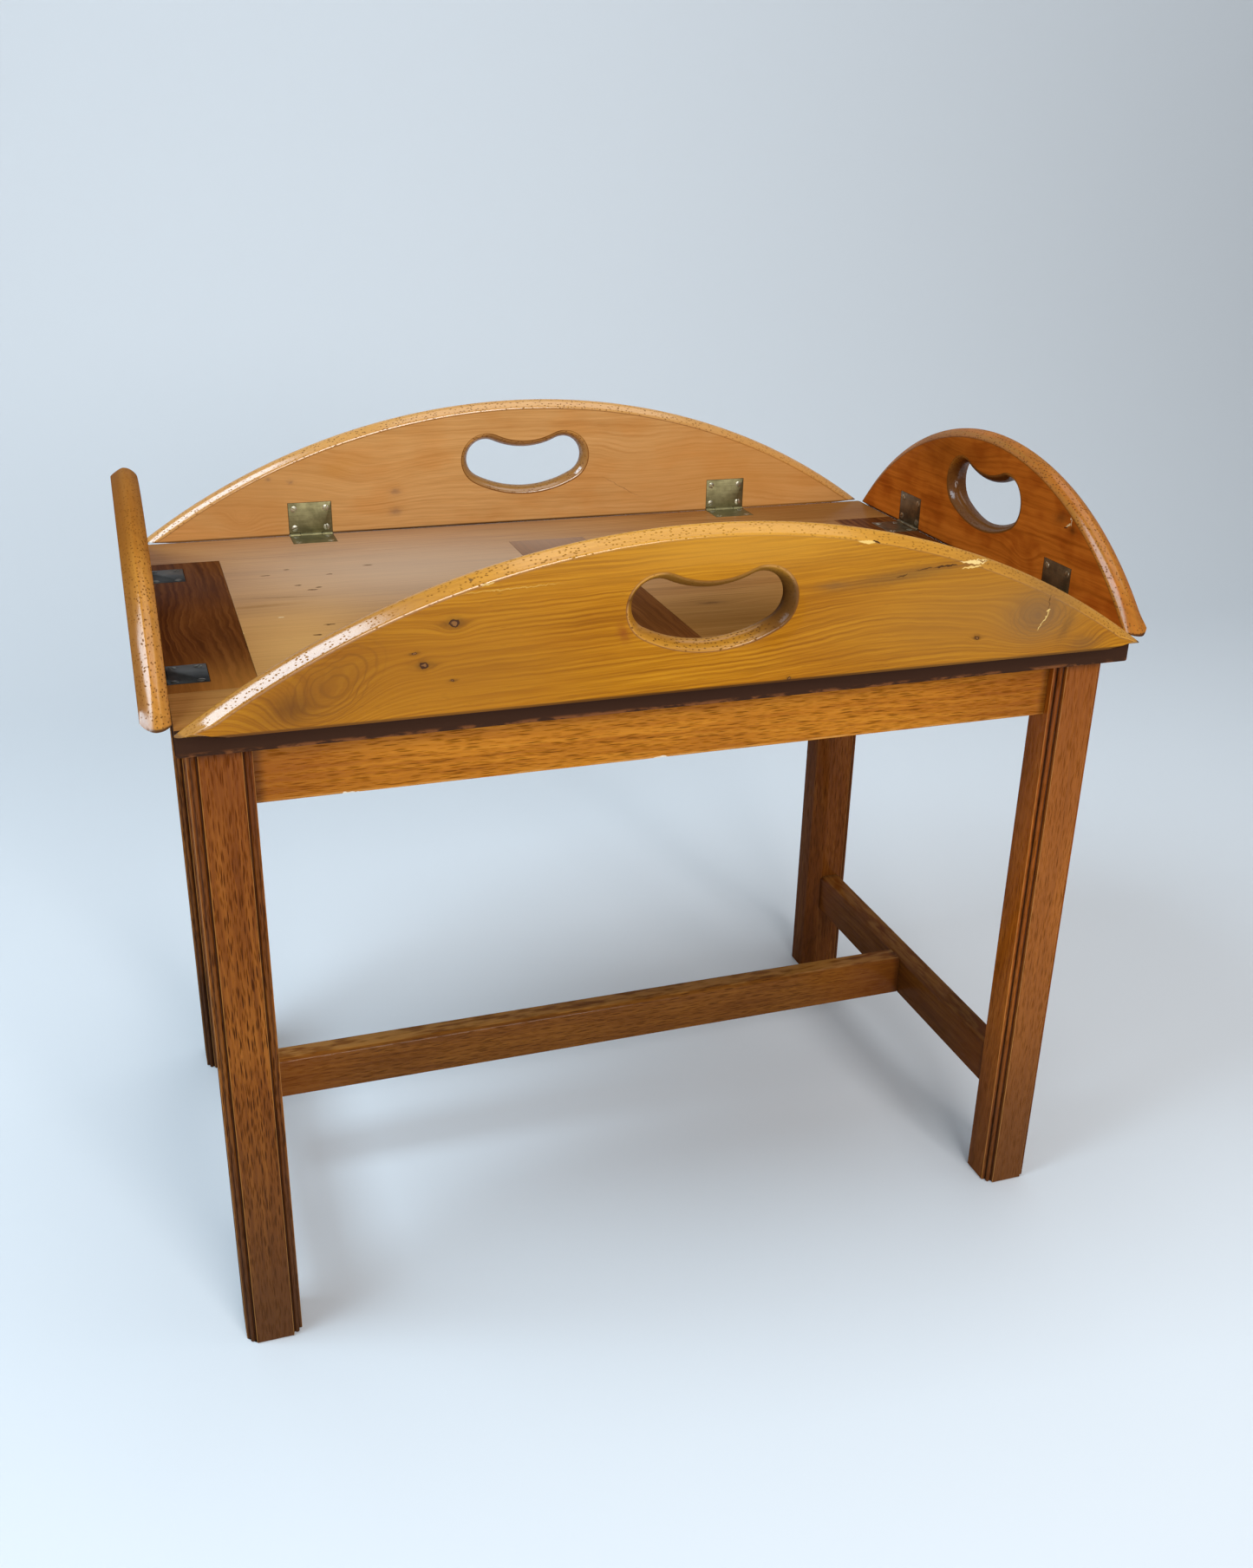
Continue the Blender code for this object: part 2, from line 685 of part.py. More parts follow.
def front_left_leg():
    """A leg about its own middle line, with its mortises and its peg's socket."""
    leg = moved(extruded(leg_outline(), STAND_TOP), Matrix.Translation((0, 0, STAND_TOP / 2)))
    swap_xy = Matrix(((0, 1, 0, 0), (1, 0, 0, 0), (0, 0, 1, 0), (0, 0, 0, 1)))
    apron_ends = APRON_HEIGHT + TENON_SHOULDER, STAND_TOP - TENON_SHOULDER
    apron_joint = (-APRON_LINE, APRON_TENON_THICKNESS / 2, *apron_ends, APRON_TENON_LENGTH)
    low = STRETCHER_HEIGHT + TENON_SHOULDER
    high = STRETCHER_HEIGHT + STRETCHER_DEPTH - TENON_SHOULDER
    stretcher = mortise(0, STRETCHER_TENON_THICKNESS / 2, low, high, STRETCHER_TENON_LENGTH)
    radius = PEG_RADIUS + FIT_GAP
    bottom = STAND_TOP - PEG_LENGTH + PEG_PROUD - FIT_GAP
    spot = (-PEG_LINE, -PEG_LINE)
    socket = rod((*spot, bottom), (*spot, STAND_TOP + CUT_OVERRUN), radius, radius, PEG_STEPS)
    return cut(
        leg,
        mortise(*apron_joint),
        moved(mortise(*apron_joint), swap_xy),
        moved(stretcher, swap_xy),
        socket,
    )


def bar(width, depth, length, top_easing, foot_easing, tenon):
    """A rail of the stand along X, standing on Z = 0, with a tenon at each end.

    Its long edges are chamfered at the top or the foot. The tenon is its length and
    thickness, and stops short of the rail's top and foot by the shoulder.
    """
    half = width / 2
    section = [(half, foot_easing), (half, depth - top_easing)]
    section += [(half - top_easing, depth)] if top_easing else []
    section = [(half - foot_easing, 0)] * bool(foot_easing) + section
    outline = section + [(-x, y) for x, y in reversed(section)]
    body = moved(extruded(outline, length), LENGTH_ALONG_X)
    tenon_length, tenon_thickness = tenon
    reach = length / 2 + tenon_length
    low = (-reach, -tenon_thickness / 2, TENON_SHOULDER)
    return joined(body, box(low, (reach, tenon_thickness / 2, depth - TENON_SHOULDER)))


def apron(leg_line):
    """An apron between two legs whose middles are at +-leg_line."""
    length = 2 * (leg_line - HALF_LEG - FIT_GAP)
    tenon = (APRON_TENON_LENGTH, APRON_TENON_THICKNESS)
    return bar(APRON_THICKNESS, APRON_DEPTH, length, 0, APRON_EASING, tenon)


def stretcher(length):
    """A stretcher of a given length between its shoulders."""
    tenon = (STRETCHER_TENON_LENGTH, STRETCHER_TENON_THICKNESS)
    return bar(STRETCHER_WIDTH, STRETCHER_DEPTH, length, STRETCHER_CHAMFER, 0, tenon)


def end_stretcher():
    """The stretcher between a front and a back leg, with a mortise in its +Y face."""
    across = STRETCHER_TENON_THICKNESS / 2 + FIT_GAP
    face = STRETCHER_WIDTH / 2
    low = (-across, face - STRETCHER_TENON_LENGTH - FIT_GAP, TENON_SHOULDER - FIT_GAP)
    high = (across, face + CUT_OVERRUN, STRETCHER_DEPTH - TENON_SHOULDER + FIT_GAP)
    return cut(stretcher(2 * (LEG_Y - HALF_LEG - FIT_GAP)), box(low, high))


def peg():
    """A round peg standing on Z = 0 with a chamfered nose."""
    return turned(
        [
            (0, PEG_LENGTH),
            (PEG_RADIUS - PEG_NOSE, PEG_LENGTH),
            (PEG_RADIUS, PEG_LENGTH - PEG_NOSE),
            (PEG_RADIUS, 0),
            (0, 0),
        ],
        PEG_STEPS,
    )


def pivot(name, location=(0, 0, 0), turn=0, parent=None):
    """An empty that carries the pieces of one moving body."""
    empty = bpy.data.objects.new(name, None)
    empty.location = location
    empty.rotation_euler.z = math.radians(turn)
    empty.parent = parent
    parts.objects.link(empty)
    return empty


def place(name, mesh, surface, parent, location=(0, 0, 0), turn=0):
    """One piece of the tray or the stand, set in its parent's frame."""
    if not mesh.materials:
        mesh.materials.append(surface)
        mesh.shade_smooth()
        mesh.set_sharp_from_angle(angle=math.radians(SHARP_ANGLE))
    obj = bpy.data.objects.new(name, mesh)
    obj.location = location
    obj.rotation_euler.z = math.radians(turn)
    obj.parent = parent
    parts.objects.link(obj)
    # A mesh that two pieces share still gives each its own surface
    obj.material_slots[0].link = "OBJECT"
    obj.material_slots[0].material = surface
    return obj


def build_stand(stand):
    """Four legs, four aprons, three stretchers and the tray's four pegs."""
    wood, beech = stained_stand_wood(), peg_wood()
    for row, y_sign in (("front", -1), ("back", 1)):
        for column, x_sign in (("left", -1), ("right", 1)):
            mirror = Matrix.Diagonal((-x_sign, -y_sign, 1, 1))
            leg = moved(front_left_leg(), mirror)
            place(f"leg_{row}_{column}", leg, wood, stand, (x_sign * LEG_X, y_sign * LEG_Y, 0))
            spot = (x_sign * (LEG_X + PEG_LINE), y_sign * (LEG_Y + PEG_LINE))
            level = STAND_TOP + PEG_PROUD - PEG_LENGTH
            place(f"peg_{row}_{column}", peg(), beech, stand, (*spot, level))
    long_apron, short_apron, end = apron(LEG_X), apron(LEG_Y), end_stretcher()
    place("apron_front", long_apron, wood, stand, (0, -LEG_Y - APRON_LINE, APRON_HEIGHT))
    place("apron_back", long_apron, wood, stand, (0, LEG_Y + APRON_LINE, APRON_HEIGHT))
    place("apron_left", short_apron, wood, stand, (-LEG_X - APRON_LINE, 0, APRON_HEIGHT), 90)
    place("apron_right", short_apron, wood, stand, (LEG_X + APRON_LINE, 0, APRON_HEIGHT), 90)
    place("stretcher_left", end, wood, stand, (-LEG_X, 0, STRETCHER_HEIGHT), -90)
    place("stretcher_right", end, wood, stand, (LEG_X, 0, STRETCHER_HEIGHT), 90)
    length = 2 * (LEG_X - STRETCHER_WIDTH / 2 - FIT_GAP)
    place("stretcher_centre", stretcher(length), wood, stand, (0, 0, STRETCHER_HEIGHT))


def peg_sockets():
    """The cutters for the pegs' sockets in the front rail, in the tray's frame."""
    radius = PEG_RADIUS + FIT_GAP
    bottom = -TRAY_THICKNESS - CUT_OVERRUN
    top = -TRAY_THICKNESS - FIT_GAP + PEG_PROUD + FIT_GAP
    y = -LEG_Y - PEG_LINE
    spots = [(x, y) for x in (-LEG_X - PEG_LINE, LEG_X + PEG_LINE)]
    return [rod((*s, bottom), (*s, top), radius, radius, PEG_STEPS) for s in spots]


def build_tray(tray):
    """The flush frame and its two panels."""
    field, cross = tan_yew(), brown_yew()
    rail, stile, panel = cut(front_rail(), *peg_sockets()), right_stile(), right_panel()
    place("tray_rail_front", rail, field, tray)
    place("tray_rail_back", rail, field, tray, turn=180)
    place("tray_stile_right", stile, cross, tray)
    place("tray_stile_left", stile, cross, tray, turn=180)
    place("tray_muntin", muntin(), cross, tray)
    place("tray_panel_right", panel, field, tray)
    place("tray_panel_left", panel, field, tray, turn=180)


def build_leaves(tray):
    """The four leaves on their hinges, each on a pivot along its joint line."""
    brass, pin_metal, steel = dull_brass(), pin_brass(), spring_steel()
    fixed, swung, pin, spring = tray_plate(), leaf_plate(), pin_rod(HALF_HINGE), hinge_spring()
    long_leaf, short_leaf = leaf("front"), leaf("right")
    woods = {
        "front": golden_yew(),
        "back": pale_yew(),
        "right": red_yew(),
        "left": speckled_yew(),
    }
    for side, (turn, distance, half_line, rise, offset) in SIDES.items():
        frame = joint_frame(side)
        board = long_leaf if side in ("front", "back") else short_leaf
        swing = pivot(f"{side}_leaf_pivot", frame.translation, turn, tray)
        place(f"leaf_{side}", board, woods[side], swing)
        for number, x in (("1", -offset), ("2", offset)):
            name = f"hinge_{side}_{number}"
            spot = frame @ Vector((x, 0, 0))
            place(f"{name}_leaf_plate", swung, brass, swing, (x, 0, 0))
            place(f"{name}_tray_plate", fixed, brass, tray, spot, turn)
            place(f"{name}_pin", pin, pin_metal, tray, spot, turn)
            place(f"{name}_spring", spring, steel, tray, spot, turn)


for old in list(bpy.data.objects):
    bpy.data.objects.remove(old)
parts = bpy.data.collections.new("butler_tray")
bpy.context.scene.collection.children.link(parts)
build_stand(pivot("stand"))
tray_body = pivot("tray", (0, 0, TRAY_HEIGHT))
build_tray(tray_body)
build_leaves(tray_body)
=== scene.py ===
"""The looks of a butler's tray of yew on its stand, with the four leaves folded up.

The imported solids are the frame. The leaves, the stand's timbers and the hinge plates are
finer surfaces in the solids' places, and the screws get separate heads. The tray's boards,
the pins, the springs and the pegs are the solids themselves, with finished materials.

All lengths are in metres, in the solids' frame: +X along the tray, the front at -Y, +Z up.
A joint's frame has its origin in the middle of the tray's top edge on one side, +X along
the edge, +Y in over the tray and +Z up.
"""

import math

import bpy
import numpy as np
from mathutils import Matrix


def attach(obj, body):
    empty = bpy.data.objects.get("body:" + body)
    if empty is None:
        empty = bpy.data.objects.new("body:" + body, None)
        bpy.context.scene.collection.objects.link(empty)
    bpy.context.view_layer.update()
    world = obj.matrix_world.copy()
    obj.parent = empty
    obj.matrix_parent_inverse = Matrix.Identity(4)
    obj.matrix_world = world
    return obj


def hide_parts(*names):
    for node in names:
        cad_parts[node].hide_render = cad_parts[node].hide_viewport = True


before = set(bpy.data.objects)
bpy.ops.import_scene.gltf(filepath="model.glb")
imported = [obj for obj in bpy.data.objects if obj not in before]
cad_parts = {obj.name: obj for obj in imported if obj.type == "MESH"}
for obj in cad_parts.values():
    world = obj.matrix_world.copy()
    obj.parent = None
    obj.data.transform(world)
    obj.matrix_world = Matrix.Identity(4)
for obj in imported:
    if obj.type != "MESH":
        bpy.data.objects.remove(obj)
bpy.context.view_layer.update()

# The tray, its leaves and the clearance between pieces
TRAY_LENGTH, TRAY_WIDTH, TRAY_HEIGHT = 0.700, 0.456, 0.514
TRAY_THICKNESS = 0.019
LEAF_THICKNESS = 0.019
LONG_LEAF_RISE, SHORT_LEAF_RISE = 0.112, 0.110
FIT_GAP = 0.0003
FOOT_GAP = 0.00005

# The leaves' rounded edges, and the hand hole between two round lobes
EDGE_SAGITTA, HOLE_SAGITTA = 0.0058, 0.0050
ARRIS_SOFTNESS, ARRIS_SUPPORT = 0.0008, 0.0019
INNER_EDGE_POWER, OUTER_EDGE_POWER = 2.3, 1.4
LOBE_SPREAD, LOBE_HEIGHT, LOBE_RADIUS = 0.0373, 0.060, 0.0176
HOLE_FOOT_HEIGHT, HOLE_DIP_HEIGHT = 0.0331, 0.0694
TIP_LIFT, TIP_REACH, INNER_TIP_SHARE, TIP_POWER = 0.0042, 0.014, 0.25, 2.5

# How finely the leaves are divided: points on each of the hole's arcs and on the rays,
# columns on the arc and the foot, rows on an edge, an arris and a face
HOLE_SAMPLES, RAY_SAMPLES = 400, 2001
ARC_COLUMNS, FOOT_COLUMNS = 220, 120
EDGE_ROWS, ARRIS_ROWS, FACE_ROWS = 22, 4, 5

# The hinges and their screws
LONG_HINGE_OFFSET, SHORT_HINGE_OFFSET = 0.202, 0.123
HINGE_WIDTH, HINGE_REACH, PLATE_THICKNESS = 0.0385, 0.0295, 0.0022
KNUCKLE_RADIUS, MIDDLE_KNUCKLE_WIDTH = 0.0020, 0.0190
PLATE_EASING, RIM_SHOULDER, ROUND_SIDES = 0.00025, 0.3, 28
SCREW_SIDE_INSET, SCREW_NEAR_INSET, SCREW_FAR_INSET = 0.0050, 0.0065, 0.0055
SCREW_HEAD_RADIUS, SCREW_HEAD_PROUD, SCREW_HEAD_EASING = 0.0029, 0.0002, 0.0004
SCREW_SLOT_WIDTH, SCREW_SLOT_DEPTH = 0.0010, 0.0005
SCREW_SLOT_TURNS = (20, 100, 145, 65)
SCREW_HEAD_DEPTH = SCREW_SLOT_DEPTH + 4 * SCREW_HEAD_PROUD
SCREW_WAX_AND_SHADE_LEVEL = SCREW_HEAD_PROUD - 0.8 * SCREW_HEAD_EASING

# The stand; the bead's place and size and the quirks' are shares of the moulding's reach
LEG_SIZE, LEG_END_INSET, LEG_FRONT_INSET = 0.042, 0.0065, 0.0155
LEG_INNER_CHAMFER, MOULDING_REACH = 0.011, 0.007
BEAD_CENTRE, BEAD_RADIUS, QUIRK_DEPTH, QUIRK_SIDE = 0.60, 0.24, 0.47, 0.93
BEAD_START, BEAD_END, BEAD_POINTS = 110, 340, 17
LEG_ARRIS_SOFTNESS, BEAD_WAX_AND_SHADE = 0.0004, 0.45
APRON_DEPTH, APRON_THICKNESS, APRON_SETBACK = 0.048, 0.020, 0.012
STRETCHER_HEIGHT, STRETCHER_DEPTH, STRETCHER_WIDTH = 0.080, 0.038, 0.022
STRETCHER_CHAMFER, TIMBER_EASING, RAIL_END_EASING = 0.003, 0.0008, 0.0002
CORNER_STEPS, CORNER_SHARE, SHARP_TURN = 3, 0.4, 25

HALF_LENGTH, HALF_WIDTH = TRAY_LENGTH / 2, TRAY_WIDTH / 2
STAND_TOP = TRAY_HEIGHT - TRAY_THICKNESS - FIT_GAP
HALF_LEG = LEG_SIZE / 2
LEG_X = HALF_LENGTH - LEG_END_INSET - HALF_LEG
LEG_Y = HALF_WIDTH - LEG_FRONT_INSET - HALF_LEG
APRON_LINE = HALF_LEG - APRON_SETBACK - APRON_THICKNESS / 2

# Each side: its turn about Z in degrees, the joint line's distance from the middle,
# half its length, the leaf's rise and the hinges' offset from its middle
LONG_SIDE = (HALF_WIDTH, HALF_LENGTH, LONG_LEAF_RISE, LONG_HINGE_OFFSET)
SHORT_SIDE = (HALF_LENGTH, HALF_WIDTH, SHORT_LEAF_RISE, SHORT_HINGE_OFFSET)
SIDES = {
    "front": (0, *LONG_SIDE),
    "right": (90, *SHORT_SIDE),
    "back": (180, *LONG_SIDE),
    "left": (270, *SHORT_SIDE),
}

# The photograph's camera: its place, its axes and its focal length for a 36 mm long side
CAMERA_PLACE = (-0.3681, -1.1375, 0.8685)
CAMERA_FORWARD = (0.3001, 0.8637, -0.4050)
CAMERA_RIGHT = (0.9473, -0.3198, 0.0201)
CAMERA_LENS, CAMERA_SENSOR = 34.68, 36

# The stage: the floor's half width, its front, where it curves up, the curve's radius and
# the backdrop's height; then each lamp's place, target, size, power and tint
FLOOR_HALF_WIDTH, FLOOR_FRONT, FLOOR_BACK = 6.0, -4.0, 1.2
FLOOR_CURVE, FLOOR_CURVE_STEPS, BACKDROP_HEIGHT = 1.2, 24, 5.0
FLOOR_PAINT, FLOOR_ROUGHNESS = (0.76, 0.79, 0.82, 1), 0.8
ROOM_LIGHT, ROOM_POWER = (0.80, 0.84, 0.88, 1), 0.22
LAMPS = (
    ("key_lamp", (0.2, -3.6, 1.9), (0, 0, 0.45), 2.0, 114, (1, 1, 1)),
    ("window_lamp", (-1.58, -0.30, 2.39), (-0.25, -0.25, 0.55), 1.3, 48, (0.68, 0.86, 1)),
    ("top_lamp", (0.6, 0.0, 2.6), (0, 0, 0.4), 1.8, 16, (1, 1, 1)),
)

# The finishes: names of the node groups' vector sockets, and what all woods share
VECTOR_SOCKETS = ("Place", "Centre", "Size", "Turn")
THROUGH, BUMP_DEPTH = 1.0, 0.0002
WOOD_SHINE, POLISH_ROUGHNESS, TRAY_BLUR, POLISH_IOR = 0.0, 0.17, 0.22, 2.0
FACE_POLISH, TRAY_POLISH, EDGE_POLISH = 0.09, 0.12, 0.70
KNOT_RIM, KNOT_HEART = (0.035, 0.012, 0.005), (0.22, 0.092, 0.024)
# Old wax and painted shade: in the joints, quirks and corners, under the tray's top and round the screw heads
WAX_AND_SHADE_BROWN, CRACK_BROWN = (0.030, 0.010, 0.004), (0.05, 0.020, 0.008)
ARRIS_BROWN, HAND_BROWN = (0.16, 0.050, 0.008), (0.10, 0.036, 0.010)
RUBBED_AND_LIT_TAN = (0.62, 0.30, 0.075)

# The growth rings: noises' scales, a board's slant through its depth, the rings to a pitch,
# where a ring darkens and ends, and the fibre; the dashes' crisp part and their clearings
WIDE_BEND, CURLY_BEND, DEPTH_SLANT = (3.5, 13, 13), (48, 80, 80), 0.6
BAND_SCALE, LINE_SCALE, RING_COUNT = (2.5, 0.16, 0), (9, 1, 0), 0.6
RING_DARKENS, RING_ENDS, FIBRE_SCALE = (0.30, 0.86), (1, 0.88), (45, 1100, 1100)
DASH_HEART, CLEARING_SCALE, CLEARING_EDGE = 0.45, (0.25, 0.0625, 0.0625), 0.08

# How all woods are shaded: the figure's and the patches' contrast, the fibre and the bump
FIGURE_CONTRAST, RINGING_BALANCE, FLUSH_EDGE = (0.28, 0.72), 0.35, (0.4, 0.68)
FIBRE_STREAK, FIBRE_STRENGTH, FIBRE_HEIGHT = (0.70, 1.30), 0.5, 0.3
ROUGHNESS_SPREAD, PORE_ROUGHNESS, WOOD_BUMP = 0.06, 0.35, 0.25

# The marks: a noise's scale and reach for ragged edges and for wavy loops, a loop's line
# and patches, and where marks end, in the spot's half sizes
RAGGED_SHAKE, WAVY_SHAKE = (260, (0.006, 0.003, 0)), (45, (0.016, 0.010, 0))
LOOP_LINE, LOOP_PATCH, LOOP_PATCHINESS = (0.26, 0.48), (90, 90, 90), (0.2, 1.2)
LOOPS_END, SPLIT_EDGE = (1.25, 0.75), (1, 0.7)

# A pin knot in its own radius: the eye, its lift, the smudges with their strengths, its
# height, and where its rim and its heart end
KNOT_EYE, KNOT_LIFT, KNOT_FLATNESS = (4, 2.4), 1.2, 0.85
KNOT_SMUDGES = (((3.4, 0.9), 0.45), ((1.8, 1.5), 0.35))
KNOT_RIM_INSIDE, KNOT_RIM_OUTSIDE, KNOT_RIM_STRENGTH = (0.45, 0.75), (1.15, 0.95), 0.9
KNOT_HEART_EDGE = (1.0, 0.6)

# A leaf's rounded edge: its streaks and their tone's strength, the cut pores' dots, the
# grime round the hand hole, the arrises' wax without and with grime, at the hand hole also
# painted shade of its rounded rim, and the painted shade along the foot in the joint's shadow
EDGE_STREAK, STREAK_CONTRAST, EDGE_TONE_STRENGTH = (14, 14, 420), (0.30, 0.70), (0.45, 0.85)
DOT_SIZE, DOT_WIDTH, DOT_BARENESS, DOT_STRENGTH = (0.0030, 0.0019, 0.0019), 0.38, 0.30, 0.8
HAND_REACH, HAND_EDGE = (LOBE_SPREAD + 1.9 * LOBE_RADIUS, 2.2 * LOBE_RADIUS), (1.05, 0.95)
ARRIS_WAX_AND_SHADE, FOOT_SHADE, FOOT_SHADE_STRENGTH = (2.4, 6), (0.0024, 0.0010), 0.9

# The front leaf's hand hole and edge: where they are gripped, darkened by grime and painted shade, worn and
# glazed
GRIPPED_ALONG, GRIPPED_HEIGHT, GRIP_STRENGTH = (0.015, 0.050), (0.058, 0.068), (0.15, 0.92)
GRIMED_AND_SHADED_PLACE, GRIMED_AND_SHADED_SIZE = (LOBE_SPREAD + 0.8 * LOBE_RADIUS, LOBE_HEIGHT), (0.010, 0.017)
WORN_ALONG, GLAZED_ALONG, GLAZED_BROWN = (-0.16, -0.04), (-0.15, -0.24), (0.34, 0.150, 0.030)

# The left leaf's darker outer half, as shares of its thickness
OUTER_SHARE = (0.4, 0.9)

# The tray's stain, also painted shade on its edges under the leaves' overhang, under its
# top and along the joints with the leaves: how far in from its edges and down from its top
# it starts and is full, the paler lower arris's height above the bottom, worn and with a
# painted highlight, and where along Y the front turns dull; then how strong the stain and
# shade, the wear and highlight and the dullness are
STAINED_AND_SHADED_EDGE, STAINED_AND_SHADED_DEPTH, DULL_FRONT = (0.0012, 0.0002), (0.004, 0.006), (0.10, 0.0)
WORN_AND_LIT_HEIGHT, WORN_AND_LIT_PATCH, WORN_AND_LIT_CONTRAST = (0.0040, 0.0014), (90, 90, 300), (0.42, 0.62)
EDGE_STAIN_AND_SHADE, WORN_AND_LIT_BROWN = (0.037, 0.017, 0.011), (0.24, 0.085, 0.028)
STAIN_AND_SHADE_STRENGTH, WEAR_AND_LIGHT_STRENGTH, DULLNESS = 0.98, 0.7, 0.9

# The stand's timber: its pores as size, width, bareness and colour, its darker places, most
# of them painted shade, its rubbed arrises, painted light on the stretchers' tops, and its chips
FINE_PORES, FINE_PORE_STRENGTH = ((0.0110, 0.0010), 0.46, 0.0, (0.085, 0.024, 0.004)), 0.70
LONG_PORES, LONG_PORE_STRENGTH = ((0.0200, 0.0016), 0.36, 0.04, (0.050, 0.015, 0.004)), 0.95
FRONT_SHADE_DEPTH, FRONT_SHADE_BROWN = (0.0025, 0.0005), (0.21, 0.080, 0.020)
FOOT_TOP, FOOT_BROWN, END_SHARE, END_BROWN = 0.30, (0.070, 0.028, 0.010), 0.6, (0.19, 0.044, 0.005)
TOP_SHADE_REACH, END_SHADE_REACH, SHADE_EDGE = 0.012, 0.009, 0.001
TOP_SHADE_STRENGTH, END_STRENGTH, END_SHADE_STRENGTH = 0.55, 0.45, 0.6
LEG_COVERINGS = (("wax_and_shade", 0.85, WAX_AND_SHADE_BROWN), ("rubbed", 0.6, RUBBED_AND_LIT_TAN))
RUB_REACH, RUB_HEART, RUB_PATCH, RUB_CONTRAST = 0.0011, 0.0002, (40, 200, 200), (0.35, 0.60)
CHIP_SIZE, CHIP_CREAM = (0.0070, 0.0014), (0.72, 0.62, 0.48)

# The metals' patches and scratches
METAL_PATCH, PATCH_SHARE, SCRATCH_SHARE = (90, 90, 90), 0.7, 0.3
METAL_CONTRAST, METAL_ROUGHNESS_SPREAD, METAL_BUMP = (0.35, 0.65), 0.10, 0.15


# Shapes


def mesh_from(points, loops):
    """A mesh of the points and the faces, turned so that the faces point outwards.

    The sign of the sum of a . (b x c) over a fan of each face tells which way they point.
    """
    triangles = np.concatenate([np.stack([f[:, 0], f[:, i], f[:, i + 1]], axis=1)
                                for f in loops for i in range(1, f.shape[1] - 1)])
    a, b, c = (points[triangles[:, i]] for i in range(3))
    if np.einsum("ij,ij->", a, np.cross(b, c)) < 0:
        loops = [f[:, ::-1] for f in loops]
    mesh = bpy.data.meshes.new("surface")
    mesh.from_pydata(points.tolist(), [], [face for f in loops for face in f.tolist()])
    return mesh


def ring_grid(grid):
    """The surface through a grid of points that closes on itself both ways.

    Face (i, j) joins points (i, j), (i, j+1), (i+1, j+1) and (i+1, j), counted round.
    """
    rows, columns = grid.shape[:2]
    numbers = np.arange(rows * columns).reshape(rows, columns)
    right = np.roll(numbers, -1, axis=1)
    faces = np.stack([numbers, right, np.roll(right, -1, axis=0), np.roll(numbers, -1, axis=0)], axis=2)
    return mesh_from(grid.reshape(-1, 3), [faces.reshape(-1, 4)])


def prism(rings):
    """The closed surface through a stack of closed rings, with a flat face on each end."""
    rows, columns = rings.shape[:2]
    numbers = np.arange(rows * columns).reshape(rows, columns)
    low, high = numbers[:-1], numbers[1:]
    sides = np.stack([low, np.roll(low, -1, axis=1), np.roll(high, -1, axis=1), high], axis=2)
    caps = np.stack([numbers[0][::-1], numbers[-1]])
    return mesh_from(rings.reshape(-1, 3), [sides.reshape(-1, 4), caps])


def softened(outline, radius):
    """A closed outline with each corner replaced by a short curve.

    The curve is the quadratic (1-t)^2 A + 2 t (1-t) P + t^2 B, where P is the corner and A
    and B lie on its two sides at the radius, or at a share of a side that is short.
    """
    before, after = np.roll(outline, 1, axis=0), np.roll(outline, -1, axis=0)
    ends = []
    for neighbour in (before, after):
        side = neighbour - outline
        length = np.linalg.norm(side, axis=1, keepdims=True)
        ends.append(outline + side / length * np.minimum(radius, CORNER_SHARE * length))
    t = np.linspace(0, 1, CORNER_STEPS)[None, :, None]
    start, end = (e[:, None] for e in ends)
    curve = (1 - t) ** 2 * start + 2 * t * (1 - t) * outline[:, None] + t**2 * end
    return curve.reshape(-1, 2)


def shrunk(outline, distance):
    """A counterclockwise outline moved inwards along the mean normal of its two sides."""
    tangent = np.roll(outline, -1, axis=0) - np.roll(outline, 1, axis=0)
    tangent = tangent / np.linalg.norm(tangent, axis=1, keepdims=True)
    return outline + distance * np.stack([-tangent[:, 1], tangent[:, 0]], axis=1)


def stepped(outline, insets, levels):
    """A solid along Z: the outline moved inwards by an inset at each level."""
    rings = [np.column_stack([shrunk(outline, inset), np.full(len(outline), level)])
             for inset, level in zip(insets, levels)]
    return prism(np.array(rings))


def timber(outline, start, end, easing):
    """A bar along Z with the outline as its section, its end arrises eased by a chamfer."""
    return stepped(outline, (easing, 0, 0, easing), (start, start + easing, end - easing, end))


def arc(centre, radius, start, end, steps):
    """Points on an arc between two angles in degrees, both ends included."""
    angles = np.radians(np.linspace(start, end, steps))
    return np.array(centre) + radius * np.column_stack([np.cos(angles), np.sin(angles)])


def rectangle(low, high):
    """The four corners of a rectangle, counterclockwise."""
    return np.array([low, (high[0], low[1]), high, (low[0], high[1])], dtype=float)


def block(low, high):
    """A box between two corners."""
    return stepped(rectangle(low[:2], high[:2]), (0, 0), (low[2], high[2]))


def moved(mesh, matrix):
    """A copy of the mesh, moved by a matrix."""
    made = mesh.copy()
    made.transform(matrix)
    return made


def placed(name, data):
    """An object with the data, put into the scene."""
    made = bpy.data.objects.new(name, data)
    bpy.context.scene.collection.objects.link(made)
    return made


def point_values(mesh, name, values):
    """A number at each of the mesh's points, kept under a name for its material."""
    numbers = values.astype(np.float32)
    mesh.attributes.new(name, "FLOAT", "POINT").data.foreach_set("value", numbers)


def combined(mesh, others, operation):
    """The mesh after each of the others is cut from it or joined to it."""
    body = placed("body", mesh)
    tools = []
    for other in others:
        tool = placed("tool", other)
        step = body.modifiers.new("step", "BOOLEAN")
        step.operation, step.solver, step.object = operation, "EXACT", tool
        tools.append(tool)
    graph = bpy.context.evaluated_depsgraph_get()
    result = bpy.data.meshes.new_from_object(body.evaluated_get(graph))
    for used in (body, *tools):
        bpy.data.objects.remove(used)
    return result


